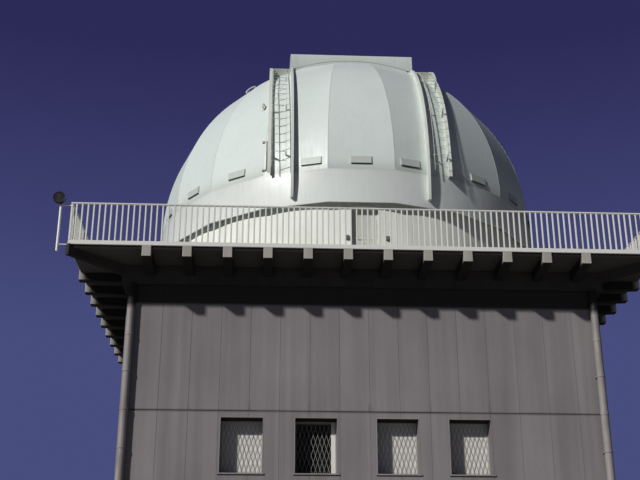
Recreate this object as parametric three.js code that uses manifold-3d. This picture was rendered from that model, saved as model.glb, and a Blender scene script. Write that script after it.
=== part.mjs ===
// Observatory dome: a square tower with a cantilevered gallery, a round drum and a turning dome.
// Millimetres, +Z up. The origin is the centre of the tower at ground level; the photographed
// front faces -Y, and azimuths are counted from -Y towards +X.
import * as THREE from 'three';
import { mergeVertices } from 'three/addons/utils/BufferGeometryUtils.js';
import Module from 'manifold-3d';

const wasm = await Module();
wasm.setup();

const GAP = 0.3;                    // seat between two touching pieces

// Tower
const TOWER_HALF = 6080;            // half of the outside width
const WALL = 480;                   // wall thickness, panels and lining together
const STOREY = 3800;                // height of one row of wall panels
const SLAB_UNDER = 11330;           // top of the walls, underside of the gallery slab
const FLOOR = 200;                  // floor slab thickness
const WINDOW_CENTRES = [-3070, -1240, 780, 2580];
const WINDOW_W = 1030;
const WINDOW_H = 1340;
const WINDOW_HEAD = 170;            // window head below the panel joint
const GLASS = 20;
const GLASS_LAP = 90;               // glass sheet beyond the window openings
const ENTRANCE_W = 1200;
const ENTRANCE_H = 2050;

// Gallery
const DECK_HALF = 7440;             // outer face of kerb and railing
const PANEL_T = 50;                 // railing and kerb thickness
const SLAB_TOP = SLAB_UNDER + 160;
const KERB_Z0 = SLAB_UNDER + 80;
const KERB_H = 110;
const RAIL_TOP = KERB_Z0 + 1130;
const TOP_RAIL_H = 50;
const BALUSTER_W = 32;
const BALUSTER_PITCH = 148;
const BRACKET_PITCH = 1000;
const BRACKETS = 12;
const BRACKET_W = 235;
const BRACKET_TIP = 200;            // depth below the slab at the tip
const BRACKET_ROOT = 280;           // depth below the slab at the wall
const CORNER_BRACKET_W = 130;
const BEAM_H = 500;                 // ring beam under the slab
const BEAM_T = 150;

// Drum
const DRUM_R = 5690;
const DRUM_T = 250;
const DRUM_TOP = 14250;
const DOOR_X0 = -280;
const DOOR_X1 = 470;
const DOOR_H = 1850;
const DOOR_SETBACK = 150;
const DOOR_T = 50;

// Dome
const GORES = 20;
const GORE = 2 * Math.PI / GORES;
const SHELL_STEPS = 15;             // flats up one quarter of the meridian
const DOME_R = 5925;                // radius to the gore edges
const SKIN = 60;
const SPRING_Z = 14400;             // level of the sphere's centre
const SKIRT_H = 1000;
const SKIRT_T = 45;
const RING_IN = 5340;               // inner radius of the ring girder
const SLIT_HALF = 1850;             // half of the slit, to the inner faces of the rails
const SLIT_FRONT_EL = 72;           // slit end past the zenith, degrees of elevation
const SLIT_BACK_EL = 30;            // slit's foot on the far side
const WEDGE_DIP = 5;                // cutting wedges start below the shell's foot, in degrees
const WEDGE_STEP = 20;
const HOOD_W = 560;
const HOOD_H = 300;
const HOOD_PROUD = 55;
const HOOD_EL = 2;
const SIDE_HOODS = [36, 54, 72, 90, 108, 126, 144];
const STRIP_HOODS = [-13.5, 0, 13.5];
const ROOT_R = 5300;                // rails are drawn from inside the skin and cut back to it
const GUARD_ROOT_R = 5000;
const RAIL_T = 80;
const RAIL_R = 5750;
const RAIL_END_EL = -8;
const OUTER_X = 2520;
const OUTER_T = 60;
const OUTER_R = 5700;
const HEAD_PLATE = 0.4;             // degrees, plate across the top of the ladder bay
const LADDER_TOP_EL = 80;
const LADDER_X0 = 2050;
const LADDER_X1 = 2480;
const STILE_T = 40;
const STILE_R0 = 5620;
const STILE_R1 = 5690;
const STILE_END = 1;                // degrees that a stile stops short of its end level
const FOOT_ELS = [6, 24, 42, 60, 78];
const FOOT_H = 50;
const RUNG = 28;
const RUNG_STEP = 3;                // degrees between rungs, about 300 mm
const ARC_STEP = 4;                 // degrees from flat to flat on rails and shutter
const SHUTTER_HALF = SLIT_HALF + RAIL_T;
const SHUTTER_IN = 6030;
const SHUTTER_OUT = 6165;
const SHUTTER_FRONT_EL = 62;        // half a step off the rails' corners, so each flat rides on one
const SHUTTER_BACK_EL = 26;
const END_PLATE = 1;                // degrees that the end plates stand beyond the vault
const PLATE_LIP = 5;                // end plates below the vault's outer face
const FRONT_PLATE_T = 160;          // upright plate that closes the front end
const CHEEK_T = 70;
const CHEEK_IN = 5690;
const CHEEK_CLEAR = 10;             // sideways, to the rails
const CHEEK_LAP = 20;               // cheeks into the side walls, and these into the vault
const END_CLEAR_R = 5985;           // end plates pass over the hoods
const BALL_STEPS = 30;
const BALL_SEGMENTS = 4 * GORES;

// Fittings
const PIPE_R = 100;
const PIPE_X = 5950;
const PIPE_OFF = 130;               // pipe axis in front of the wall
const PIPE_Z0 = 150;
const COLLAR_STEP = 1900;
const COLLAR_HALF_W = 115;
const COLLAR_HALF_H = 30;
const POLE_R = 32;
const POLE_X = -7720;
const POLE_Y = -7300;
const POLE_RISE = 1190;             // pole above the slab's underside
const POLE_DROP = 60;
const ARM = 25;
const LAMP = [-210, 130, -140, 100, 300];   // sides, front, back and height from the pole's top

const degrees = (d) => d * Math.PI / 180;

function paint(colour, roughness, metalness = 0) {
  return new THREE.MeshStandardMaterial({ color: colour, roughness, metalness });
}

const finish = {
  concrete: paint(0x8f8a8c, 0.9),
  slab: paint(0x77756f, 0.9),
  render: paint(0xd5dbd3, 0.8),
  dome: paint(0xdde3dc, 0.45),
  railing: paint(0xe4e8e2, 0.5),
  rail: paint(0xcfd5cf, 0.5),
  pipe: paint(0xb7aaa2, 0.7),
  door: paint(0xdadfd8, 0.55),
  lamp: paint(0x22242a, 0.6),
  glass: paint(0x39424c, 0.15),
};

function solidOf(geometry) {
  const bare = geometry.clone();
  bare.deleteAttribute('normal');
  bare.deleteAttribute('uv');
  const merged = mergeVertices(bare, 1e-3);
  const corners = merged.index.array;
  const kept = [];
  for (let i = 0; i < corners.length; i += 3) {
    const [a, b, c] = [corners[i], corners[i + 1], corners[i + 2]];
    if (a !== b && b !== c && c !== a) {
      kept.push(a, b, c);
    }
  }
  const mesh = new wasm.Mesh({
    numProp: 3,
    vertProperties: new Float32Array(merged.attributes.position.array),
    triVerts: new Uint32Array(kept),
  });
  return new wasm.Manifold(mesh);
}

function geometryOf(solid) {
  const mesh = solid.getMesh();
  const geometry = new THREE.BufferGeometry();
  geometry.setAttribute('position', new THREE.BufferAttribute(mesh.vertProperties, 3));
  geometry.setIndex(new THREE.BufferAttribute(mesh.triVerts, 1));
  return geometry;
}

function join(...geometries) {
  return geometryOf(geometries.map(solidOf).reduce((sum, piece) => sum.add(piece)));
}

function cut(geometry, ...tools) {
  return geometryOf(tools.map(solidOf).reduce((rest, tool) => rest.subtract(tool), solidOf(geometry)));
}

function common(geometry, ...limits) {
  return geometryOf(limits.map(solidOf).reduce((rest, limit) => rest.intersect(limit), solidOf(geometry)));
}

function block(x0, x1, y0, y1, z0, z1) {
  const box = new THREE.BoxGeometry(x1 - x0, y1 - y0, z1 - z0);
  return box.translate((x0 + x1) / 2, (y0 + y1) / 2, (z0 + z1) / 2);
}

function outline(points) {
  return new THREE.Shape(points.map(([a, b]) => new THREE.Vector2(a, b)));
}

// A shape drawn in Y and Z, given a thickness from x0 to x1.
function alongX(shape, x0, x1) {
  const geometry = new THREE.ExtrudeGeometry(shape, { depth: x1 - x0, bevelEnabled: false });
  return geometry.rotateX(Math.PI / 2).rotateZ(Math.PI / 2).translate(x0, 0, 0);
}

const building = new THREE.Group();

function place(parent, name, geometry, material) {
  const mesh = new THREE.Mesh(geometry, material);
  mesh.name = name;
  parent.add(mesh);
  return mesh;
}

// Tower walls: each row of panels has its windows just under the panel joint.
function windowRows() {
  const rows = [];
  for (const joint of [STOREY, 2 * STOREY]) {
    const head = joint - WINDOW_HEAD;
    rows.push([head - WINDOW_H, head]);
  }
  return rows;
}

function wallGeometry(half, withEntrance) {
  const [outside, inside] = [-TOWER_HALF, -TOWER_HALF + WALL];
  const opening = (x0, x1, z0, z1) => block(x0, x1, outside - WALL, inside + WALL, z0, z1);
  const openings = windowRows().flatMap(([sill, head]) => WINDOW_CENTRES.map((x) => {
    return opening(x - WINDOW_W / 2, x + WINDOW_W / 2, sill, head);
  }));
  if (withEntrance) {
    openings.push(opening(-ENTRANCE_W / 2, ENTRANCE_W / 2, FLOOR, FLOOR + ENTRANCE_H));
  }
  return cut(block(-half, half, outside, inside, 0, SLAB_UNDER - GAP), ...openings);
}

function glassGeometry([sill, head]) {
  const first = WINDOW_CENTRES[0] - WINDOW_W / 2 - GLASS_LAP;
  const last = WINDOW_CENTRES[WINDOW_CENTRES.length - 1] + WINDOW_W / 2 + GLASS_LAP;
  const y0 = -TOWER_HALF + WALL + GAP;
  return block(first, last, y0, y0 + GLASS, sill - GLASS_LAP, head + GLASS_LAP);
}

// One gallery bracket, drawn in Y and Z, with a nib under the kerb.
function bracketShape(stretch = 1) {
  const [root, tip] = [-TOWER_HALF * stretch, -DECK_HALF * stretch];
  const edge = -(DECK_HALF - PANEL_T + GAP) * stretch;
  const top = SLAB_UNDER - GAP;
  return outline([
    [root, SLAB_UNDER - BRACKET_ROOT], [root, top], [edge, top],
    [edge, KERB_Z0 - GAP], [tip, KERB_Z0 - GAP], [tip, SLAB_UNDER - BRACKET_TIP],
  ]);
}

function bracketRow(beamHalf, withCorners) {
  const top = SLAB_UNDER - GAP;
  const face = -TOWER_HALF - GAP;
  const pieces = [block(-beamHalf, beamHalf, face - BEAM_T, face, SLAB_UNDER - BEAM_H, top)];
  for (let i = 0; i < BRACKETS; i += 1) {
    const x = (i - (BRACKETS - 1) / 2) * BRACKET_PITCH;
    pieces.push(alongX(bracketShape(), x - BRACKET_W / 2, x + BRACKET_W / 2));
  }
  const row = cut(join(...pieces), block(-DECK_HALF, DECK_HALF, face, 0, 0, SLAB_TOP));
  if (!withCorners) {
    return row;
  }
  const corners = [-1, 1].map((side) => {
    const diagonal = alongX(bracketShape(Math.SQRT2), -CORNER_BRACKET_W / 2, CORNER_BRACKET_W / 2);
    return diagonal.rotateZ(side * Math.PI / 4);
  });
  return cut(join(row, ...corners), block(-DECK_HALF, DECK_HALF, face, 0, 0, SLAB_TOP));
}

// One side of the railing: kerb, top rail and balusters in one panel.
function railingGeometry(half) {
  const [outside, inside] = [-DECK_HALF, -DECK_HALF + PANEL_T];
  const bays = Math.round(2 * half / BALUSTER_PITCH);
  const pitch = 2 * half / bays;
  const gaps = [];
  for (let i = 0; i < bays; i += 1) {
    const x0 = -half + i * pitch + BALUSTER_W / 2;
    const x1 = x0 + pitch - BALUSTER_W;
    gaps.push(block(x0, x1, outside - PANEL_T, inside + PANEL_T, KERB_Z0 + KERB_H, RAIL_TOP - TOP_RAIL_H));
  }
  return cut(block(-half, half, outside, inside, KERB_Z0, RAIL_TOP), ...gaps);
}

function buildTower() {
  const sides = [
    { name: 'front', full: true, entrance: true },
    { name: 'right', full: false, entrance: false },
    { name: 'back', full: true, entrance: false },
    { name: 'left', full: false, entrance: false },
  ];
  sides.forEach(({ name, full, entrance }, turn) => {
    const side = new THREE.Group();
    side.rotation.z = turn * Math.PI / 2;
    building.add(side);
    const wallHalf = full ? TOWER_HALF : TOWER_HALF - WALL - GAP;
    const railHalf = full ? DECK_HALF : DECK_HALF - PANEL_T - GAP;
    const beamHalf = full ? TOWER_HALF + GAP + BEAM_T : TOWER_HALF - GAP;
    place(side, `${name}_wall`, wallGeometry(wallHalf, entrance), finish.concrete);
    windowRows().forEach((row, storey) => {
      place(side, `${name}_glass_${storey + 1}`, glassGeometry(row), finish.glass);
    });
    place(side, `${name}_brackets`, bracketRow(beamHalf, full), finish.concrete);
    place(side, `${name}_railing`, railingGeometry(railHalf), finish.railing);
  });

  const inside = TOWER_HALF - WALL - GAP;
  place(building, 'ground_floor', block(-inside, inside, -inside, inside, 0, FLOOR), finish.slab);
  const upper = block(-inside, inside, -inside, inside, STOREY, STOREY + FLOOR);
  place(building, 'upper_floor', upper, finish.slab);
  const deck = DECK_HALF - PANEL_T - GAP;
  place(building, 'gallery_deck', block(-deck, deck, -deck, deck, SLAB_UNDER, SLAB_TOP), finish.slab);

  const y0 = -TOWER_HALF + WALL / 2;
  const halfDoor = ENTRANCE_W / 2 - GAP;
  const entrance = block(-halfDoor, halfDoor, y0, y0 + DOOR_T, FLOOR + GAP, FLOOR + ENTRANCE_H - GAP);
  place(building, 'entrance_door', entrance, finish.door);
}

// A sector of a round wall between two azimuths, in degrees.
function ringSector(outer, inner, from, to, z0, z1) {
  const shape = new THREE.Shape();
  const [a, b] = [degrees(from - 90), degrees(to - 90)];
  shape.absarc(0, 0, outer, a, b, false);
  shape.absarc(0, 0, inner, b, a, true);
  shape.closePath();
  const geometry = new THREE.ExtrudeGeometry(shape, {
    depth: z1 - z0, bevelEnabled: false, curveSegments: 12,
  });
  return geometry.translate(0, 0, z0);
}

function buildDrum() {
  const slack = THREE.MathUtils.radToDeg(GAP / 2 / (DRUM_R - DRUM_T));
  const names = ['front', 'right', 'back', 'left'];
  names.forEach((name, i) => {
    const from = i * 90 - 45 + slack;
    let wall = ringSector(DRUM_R, DRUM_R - DRUM_T, from, from + 90 - 2 * slack, SLAB_TOP + GAP, DRUM_TOP);
    if (name === 'front') {
      const way = block(DOOR_X0, DOOR_X1, -DRUM_R - DRUM_T, -DRUM_R / 2, SLAB_TOP, SLAB_TOP + DOOR_H);
      wall = cut(wall, way);
    }
    place(building, `drum_wall_${name}`, wall, finish.render);
  });
  const y0 = -DRUM_R + DOOR_SETBACK;
  const leaf = block(DOOR_X0 + GAP, DOOR_X1 - GAP, y0, y0 + DOOR_T, SLAB_TOP + GAP, SLAB_TOP + DOOR_H - GAP);
  place(building, 'gallery_door', leaf, finish.door);
}

// The dome's meridian, from the top down to the level of the sphere's centre.
function meridian(radius, steps = SHELL_STEPS) {
  const points = [];
  for (let i = 0; i <= steps; i += 1) {
    const el = Math.PI / 2 * (1 - i / steps);
    points.push([radius * Math.cos(el), radius * Math.sin(el)]);
  }
  points[0][0] = 0;
  points[steps][1] = 0;
  return points;
}

// Turns a profile of radius and height about the dome's axis, with one flat for each gore.
function turned(points, segments = GORES) {
  const profile = points.map(([r, z]) => new THREE.Vector2(r, z));
  const geometry = new THREE.LatheGeometry(profile, segments, GORE / 2, 2 * Math.PI);
  return geometry.rotateX(Math.PI / 2);
}

function outerForm(grow) {
  const body = meridian(DOME_R + grow);
  const foot = -2 * SKIRT_H;
  return turned([[0, foot], [DOME_R + grow, foot], ...body.reverse()]);
}

function shellForm() {
  const outer = meridian(DOME_R);
  const inner = meridian(DOME_R - SKIN);
  return turned([...inner, ...outer.reverse()]);
}

// A slice of the YZ plane between two angles about the X axis, counted from the front horizon.
function sectorShape(inner, outer, fromEl, toEl, step = ARC_STEP) {
  const count = Math.ceil(Math.abs(toEl - fromEl) / step);
  const rim = (radius) => {
    const points = [];
    for (let i = 0; i <= count; i += 1) {
      const el = degrees(fromEl + (toEl - fromEl) * i / count);
      points.push([-radius * Math.cos(el), radius * Math.sin(el)]);
    }
    return points;
  };
  if (inner === 0) {
    return outline([[0, 0], ...rim(outer)]);
  }
  return outline([...rim(outer), ...rim(inner).reverse()]);
}

// A hooded vent box on the flat of the gore that holds its azimuth.
function hood(azimuth) {
  const face = DOME_R * Math.cos(GORE / 2);
  const mid = DOME_R * Math.sin(degrees(HOOD_EL));
  const gore = Math.round(azimuth / GORE) * GORE;
  const across = face * Math.tan(azimuth - gore);
  const box = block(across - HOOD_W / 2, across + HOOD_W / 2, -face - HOOD_PROUD, -face + SKIN / 2,
    mid - HOOD_H / 2, mid + HOOD_H / 2);
  return box.rotateZ(gore);
}

function hoodsAt(azimuths) {
  return azimuths.map((azimuth) => hood(degrees(azimuth)));
}

// The shutter: a vault whose side walls ride on the rails, with guiding cheeks inside the rails.
function shutterGeometry() {
  const [fromEl, toEl] = [SHUTTER_FRONT_EL, 180 - SHUTTER_BACK_EL];
  const onRail = (RAIL_R + GAP) / Math.cos(degrees(ARC_STEP / 2));
  const cheekX = SLIT_HALF - CHEEK_CLEAR;
  const sheet = (inner, outer, x0, x1) => alongX(sectorShape(inner, outer, fromEl, toEl), x0, x1);
  const pieces = [sheet(SHUTTER_IN, SHUTTER_OUT, -SHUTTER_HALF, SHUTTER_HALF)];
  for (const side of [-1, 1]) {
    const [inner, cheek, outer] = [cheekX - CHEEK_T, cheekX, SHUTTER_HALF].map((x) => side * x);
    const wall = [Math.min(inner, outer), Math.max(inner, outer)];
    pieces.push(sheet(onRail, SHUTTER_IN + CHEEK_LAP, ...wall));
    pieces.push(sheet(CHEEK_IN, onRail + CHEEK_LAP, Math.min(inner, cheek), Math.max(inner, cheek)));
  }

  const rim = SHUTTER_OUT - PLATE_LIP;
  const back = alongX(sectorShape(CHEEK_IN, rim, toEl - END_PLATE, toEl + END_PLATE), -cheekX, cheekX);
  const y0 = -rim * Math.cos(degrees(fromEl - END_PLATE));
  const [spanFrom, spanTo] = [fromEl - 3 * ARC_STEP, fromEl + 3 * ARC_STEP];
  const upright = block(-SHUTTER_HALF, SHUTTER_HALF, y0, y0 + FRONT_PLATE_T, 0, SHUTTER_OUT);
  const under = (radius, x0, x1) => alongX(sectorShape(0, radius, spanFrom, spanTo), x0, x1);
  const front = cut(common(upright, under(rim, -SHUTTER_HALF, SHUTTER_HALF)),
    under(CHEEK_IN, -DOME_R, DOME_R), under(onRail, -DOME_R, -cheekX), under(onRail, cheekX, DOME_R));
  const ball = turned([[0, 0], ...meridian(END_CLEAR_R, BALL_STEPS).reverse()], BALL_SEGMENTS);
  return join(...pieces, cut(front, ball), cut(back, ball));
}

function buildDome() {
  const dome = new THREE.Group();
  dome.position.z = SPRING_Z;
  building.add(dome);

  const ringUnder = DRUM_TOP + GAP - SPRING_Z;
  const skirt = turned([
    [DOME_R - SKIRT_T, -SKIRT_H], [DOME_R, -SKIRT_H], [DOME_R, -GAP], [RING_IN, -GAP],
    [RING_IN, ringUnder], [DOME_R - SKIRT_T, ringUnder], [DOME_R - SKIRT_T, -SKIRT_H],
  ]);
  place(dome, 'dome_skirt', geometryOf(solidOf(skirt)), finish.dome);

  const shell = shellForm();
  const far = 2 * DOME_R;
  const edge = SLIT_HALF + GAP / 2;
  const right = join(common(shell, block(edge, far, -far, far, -far, far)), ...hoodsAt(SIDE_HOODS));
  const left = join(common(shell, block(-far, -edge, -far, far, -far, far)),
    ...hoodsAt(SIDE_HOODS.map((azimuth) => -azimuth)));
  place(dome, 'dome_shell_right', right, finish.dome);
  place(dome, 'dome_shell_left', left, finish.dome);

  const strip = SLIT_HALF - GAP / 2;
  const wedge = (fromEl, toEl) => alongX(sectorShape(0, far, fromEl, toEl, WEDGE_STEP), -strip, strip);
  const frontWedge = wedge(-WEDGE_DIP, SLIT_FRONT_EL);
  const backWedge = wedge(180 + WEDGE_DIP, 180 - SLIT_BACK_EL);
  const backHoods = hoodsAt(STRIP_HOODS.map((azimuth) => azimuth + 180));
  place(dome, 'dome_shell_front', join(common(shell, frontWedge), ...hoodsAt(STRIP_HOODS)), finish.dome);
  place(dome, 'dome_shell_back', join(common(shell, backWedge), ...backHoods), finish.dome);

  const skinTool = outerForm(GAP);
  for (const [name, side] of [['left', -1], ['right', 1]]) {
    const span = (x0, x1) => [Math.min(side * x0, side * x1), Math.max(side * x0, side * x1)];
    const arc = sectorShape(ROOT_R, RAIL_R, RAIL_END_EL, 180 - RAIL_END_EL);
    const rail = cut(alongX(arc, ...span(SLIT_HALF, SLIT_HALF + RAIL_T)), skinTool);
    place(dome, `shutter_rail_${name}`, rail, finish.rail);

    const guardArc = sectorShape(GUARD_ROOT_R, OUTER_R, 0, LADDER_TOP_EL);
    const wall = alongX(guardArc, ...span(OUTER_X, OUTER_X + OUTER_T));
    const headArc = sectorShape(GUARD_ROOT_R, OUTER_R, LADDER_TOP_EL - HEAD_PLATE, LADDER_TOP_EL);
    const head = alongX(headArc, ...span(SHUTTER_HALF + GAP, OUTER_X + OUTER_T / 2));
    place(dome, `outer_rail_${name}`, cut(join(wall, head), skinTool), finish.rail);

    const stiles = [LADDER_X0, LADDER_X1 - STILE_T].map((x) => {
      const stile = sectorShape(STILE_R0, STILE_R1, STILE_END, LADDER_TOP_EL - STILE_END);
      return alongX(stile, ...span(x, x + STILE_T));
    });
    const rungs = [];
    const [rungY0, rungY1] = [-(STILE_R0 + STILE_R1 + RUNG) / 2, -(STILE_R0 + STILE_R1 - RUNG) / 2];
    for (let el = RUNG_STEP; el < LADDER_TOP_EL - STILE_END; el += RUNG_STEP) {
      const rung = block(...span(LADDER_X0, LADDER_X1), rungY0, rungY1, -RUNG / 2, RUNG / 2);
      rungs.push(rung.rotateX(-degrees(el)));
    }
    const feet = [];
    for (const el of FOOT_ELS) {
      for (const x of [LADDER_X0, LADDER_X1 - STILE_T]) {
        const [y0, y1] = [-STILE_R0 - STILE_T, -GUARD_ROOT_R];
        const foot = block(...span(x, x + STILE_T), y0, y1, -FOOT_H / 2, FOOT_H / 2);
        feet.push(foot.rotateX(-degrees(el)));
      }
    }
    const ladder = cut(join(...stiles, ...rungs, ...feet), skinTool);
    place(dome, `ladder_${name}`, ladder, finish.rail);
  }

  place(dome, 'shutter', shutterGeometry(), finish.dome);
}

function buildFittings() {
  const y = -TOWER_HALF - PIPE_OFF;
  const top = SLAB_UNDER - BEAM_H - GAP;
  const corners = [['front_left', 0, -1], ['front_right', 0, 1], ['back_left', 2, 1], ['back_right', 2, -1]];
  for (const [name, turn, side] of corners) {
    const pipe = new THREE.CylinderGeometry(PIPE_R, PIPE_R, top - PIPE_Z0, 8);
    pipe.rotateX(Math.PI / 2).translate(side * PIPE_X, y, (top + PIPE_Z0) / 2);
    const collars = [];
    for (let z = STOREY / 4; z < top - FLOOR; z += COLLAR_STEP) {
      const [x0, x1] = [side * PIPE_X - COLLAR_HALF_W, side * PIPE_X + COLLAR_HALF_W];
      const [y0, y1] = [y - COLLAR_HALF_W, -TOWER_HALF - GAP];
      collars.push(block(x0, x1, y0, y1, z - COLLAR_HALF_H, z + COLLAR_HALF_H));
    }
    const group = new THREE.Group();
    group.rotation.z = turn * Math.PI / 2;
    building.add(group);
    place(group, `downpipe_${name}`, join(pipe, ...collars), finish.pipe);
  }

  const poleTop = SLAB_UNDER + POLE_RISE;
  const poleFoot = SLAB_UNDER - POLE_DROP;
  const pole = new THREE.CylinderGeometry(POLE_R, POLE_R, poleTop - poleFoot, 10);
  pole.rotateX(Math.PI / 2).translate(POLE_X, POLE_Y, (poleTop + poleFoot) / 2);
  const arms = [KERB_Z0 + ARM, RAIL_TOP - TOP_RAIL_H].map((z) => {
    return block(POLE_X, -DECK_HALF - GAP, POLE_Y - ARM / 2, POLE_Y + ARM / 2, z, z + ARM);
  });
  place(building, 'floodlight_pole', join(pole, ...arms), finish.railing);
  const [left, right, ahead, behind, height] = LAMP;
  const head = block(left, right, ahead, behind, GAP, height).translate(POLE_X, POLE_Y, poleTop);
  place(building, 'floodlight', head, finish.lamp);
}

buildTower();
buildDrum();
buildDome();
buildFittings();

export default building;
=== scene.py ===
"""The looks of an observatory dome on a square tower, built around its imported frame.

Metres, +Z up, with the origin at the centre of the tower's foot. The photographed front faces -Y,
azimuths are counted from -Y towards +X, and elevations about the X axis from the front horizon.
"""

import logging
import math
from collections.abc import Callable, Iterable, Sequence
from dataclasses import dataclass, field
from enum import Enum

import bmesh
import bpy
from mathutils import Matrix, Vector


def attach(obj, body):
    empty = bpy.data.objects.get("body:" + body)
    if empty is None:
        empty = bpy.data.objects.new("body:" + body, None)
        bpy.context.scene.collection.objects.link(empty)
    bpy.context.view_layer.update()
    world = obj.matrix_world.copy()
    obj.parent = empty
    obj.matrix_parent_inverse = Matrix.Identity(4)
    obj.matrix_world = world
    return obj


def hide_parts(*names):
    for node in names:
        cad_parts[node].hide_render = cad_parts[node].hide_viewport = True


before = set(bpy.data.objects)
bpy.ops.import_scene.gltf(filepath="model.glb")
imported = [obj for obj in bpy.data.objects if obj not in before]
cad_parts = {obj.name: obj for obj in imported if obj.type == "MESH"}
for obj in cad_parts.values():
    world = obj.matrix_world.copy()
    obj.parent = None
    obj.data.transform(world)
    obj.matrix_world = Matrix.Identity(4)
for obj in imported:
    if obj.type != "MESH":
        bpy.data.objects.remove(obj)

LOG = logging.getLogger("observatory")
MM = 0.001
GAP = 0.3 * MM
GROUND_TO_SLAB = 11.33
SPRING_Z = 14.4
DOME_R = 5.925
GORE_COUNT = 20
FLAT_R = DOME_R * math.cos(math.pi / GORE_COUNT)
Point = tuple[float, float, float]
Flat = tuple[float, float]
Tree = bpy.types.NodeTree
Node = bpy.types.Node
Socket = bpy.types.NodeSocket


class Body(Enum):
    """The moving bodies of the frame."""

    TOWER = "tower"
    DOME = "dome"
    SHUTTER = "shutter"


class Side(Enum):
    """The four sides of the tower, by the quarter turns that bring the front to them."""

    FRONT = 0
    RIGHT = 1
    BACK = 2
    LEFT = 3

    @property
    def label(self) -> str:
        """The side's name as the frame's nodes have it."""
        return self.name.lower()

    @property
    def turn(self) -> Matrix:
        """The rotation that brings a front piece to this side."""
        return Matrix.Rotation(self.value * math.pi / 2, 4, "Z")


class Hand(Enum):
    """The two hands of the dome, by the sign of X."""

    LEFT = -1
    RIGHT = 1

    @property
    def label(self) -> str:
        """The hand's name as the frame's nodes have it."""
        return self.name.lower()

    def span(self, near: float, far: float) -> Flat:
        """The X range of a piece that lies between two distances from the middle.

        Args:
            near: Distance of its inner face.
            far: Distance of its outer face.

        Returns:
            The lower and the higher X.
        """
        low, high = sorted((self.value * near, self.value * far))
        return low, high


def linear(colour: str) -> tuple[float, float, float, float]:
    """Turns an sRGB hex colour to a linear one.

    Args:
        colour: Six hex digits after a hash sign.

    Returns:
        Linear red, green and blue, and an alpha of one.
    """
    parts = [int(colour[i:i + 2], 16) / 255 for i in (1, 3, 5)]
    red, green, blue = (c / 12.92 if c <= 0.04045 else ((c + 0.055) / 1.055) ** 2.4 for c in parts)
    return red, green, blue, 1.0


def add_node(
    tree: Tree,
    kind: str,
    inputs: dict | None = None,
    ramp: Sequence[tuple[float, str]] = (),
    **settings: object,
) -> Node:
    """Adds a node with its settings, its values and its links.

    Args:
        tree: The node tree that takes it.
        kind: The node's type name, without the ShaderNode before it.
        inputs: Values or sockets to link, by the name or number of the input.
        ramp: Positions and hex colours of a colour ramp.
        **settings: Properties of the node.

    Returns:
        The new node.
    """
    node = tree.nodes.new("ShaderNode" + kind)
    for key, value in settings.items():
        setattr(node, key, value)
    for key, value in (inputs or {}).items():
        if isinstance(value, Socket):
            tree.links.new(value, node.inputs[key])
        else:
            node.inputs[key].default_value = value
    for i, (position, colour) in enumerate(ramp):
        stops = node.color_ramp.elements
        stop = stops[i] if i < len(stops) else stops.new(position)
        stop.position = position
        stop.color = linear(colour)
    return node


@dataclass(frozen=True)
class Finish:
    """A surface finish: the name of its material and the record's slot that it belongs to."""

    name: str
    slot: str

    def material(self) -> bpy.types.Material:
        """The material, made once and then shared."""
        known = bpy.data.materials.get(self.name)
        if known:
            return known
        material = bpy.data.materials.new(self.name)
        material.use_nodes = True
        tree = material.node_tree
        tree.nodes.clear()
        shader = add_node(tree, "BsdfPrincipled")
        add_node(tree, "OutputMaterial", {"Surface": shader.outputs[0]})
        self.dress(tree, shader)
        return material

    def dress(self, tree: Tree, shader: Node) -> None:
        """Sets the shader and adds the pattern that drives it.

        Args:
            tree: The material's nodes.
            shader: Its surface shader.
        """
        raise NotImplementedError


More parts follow.
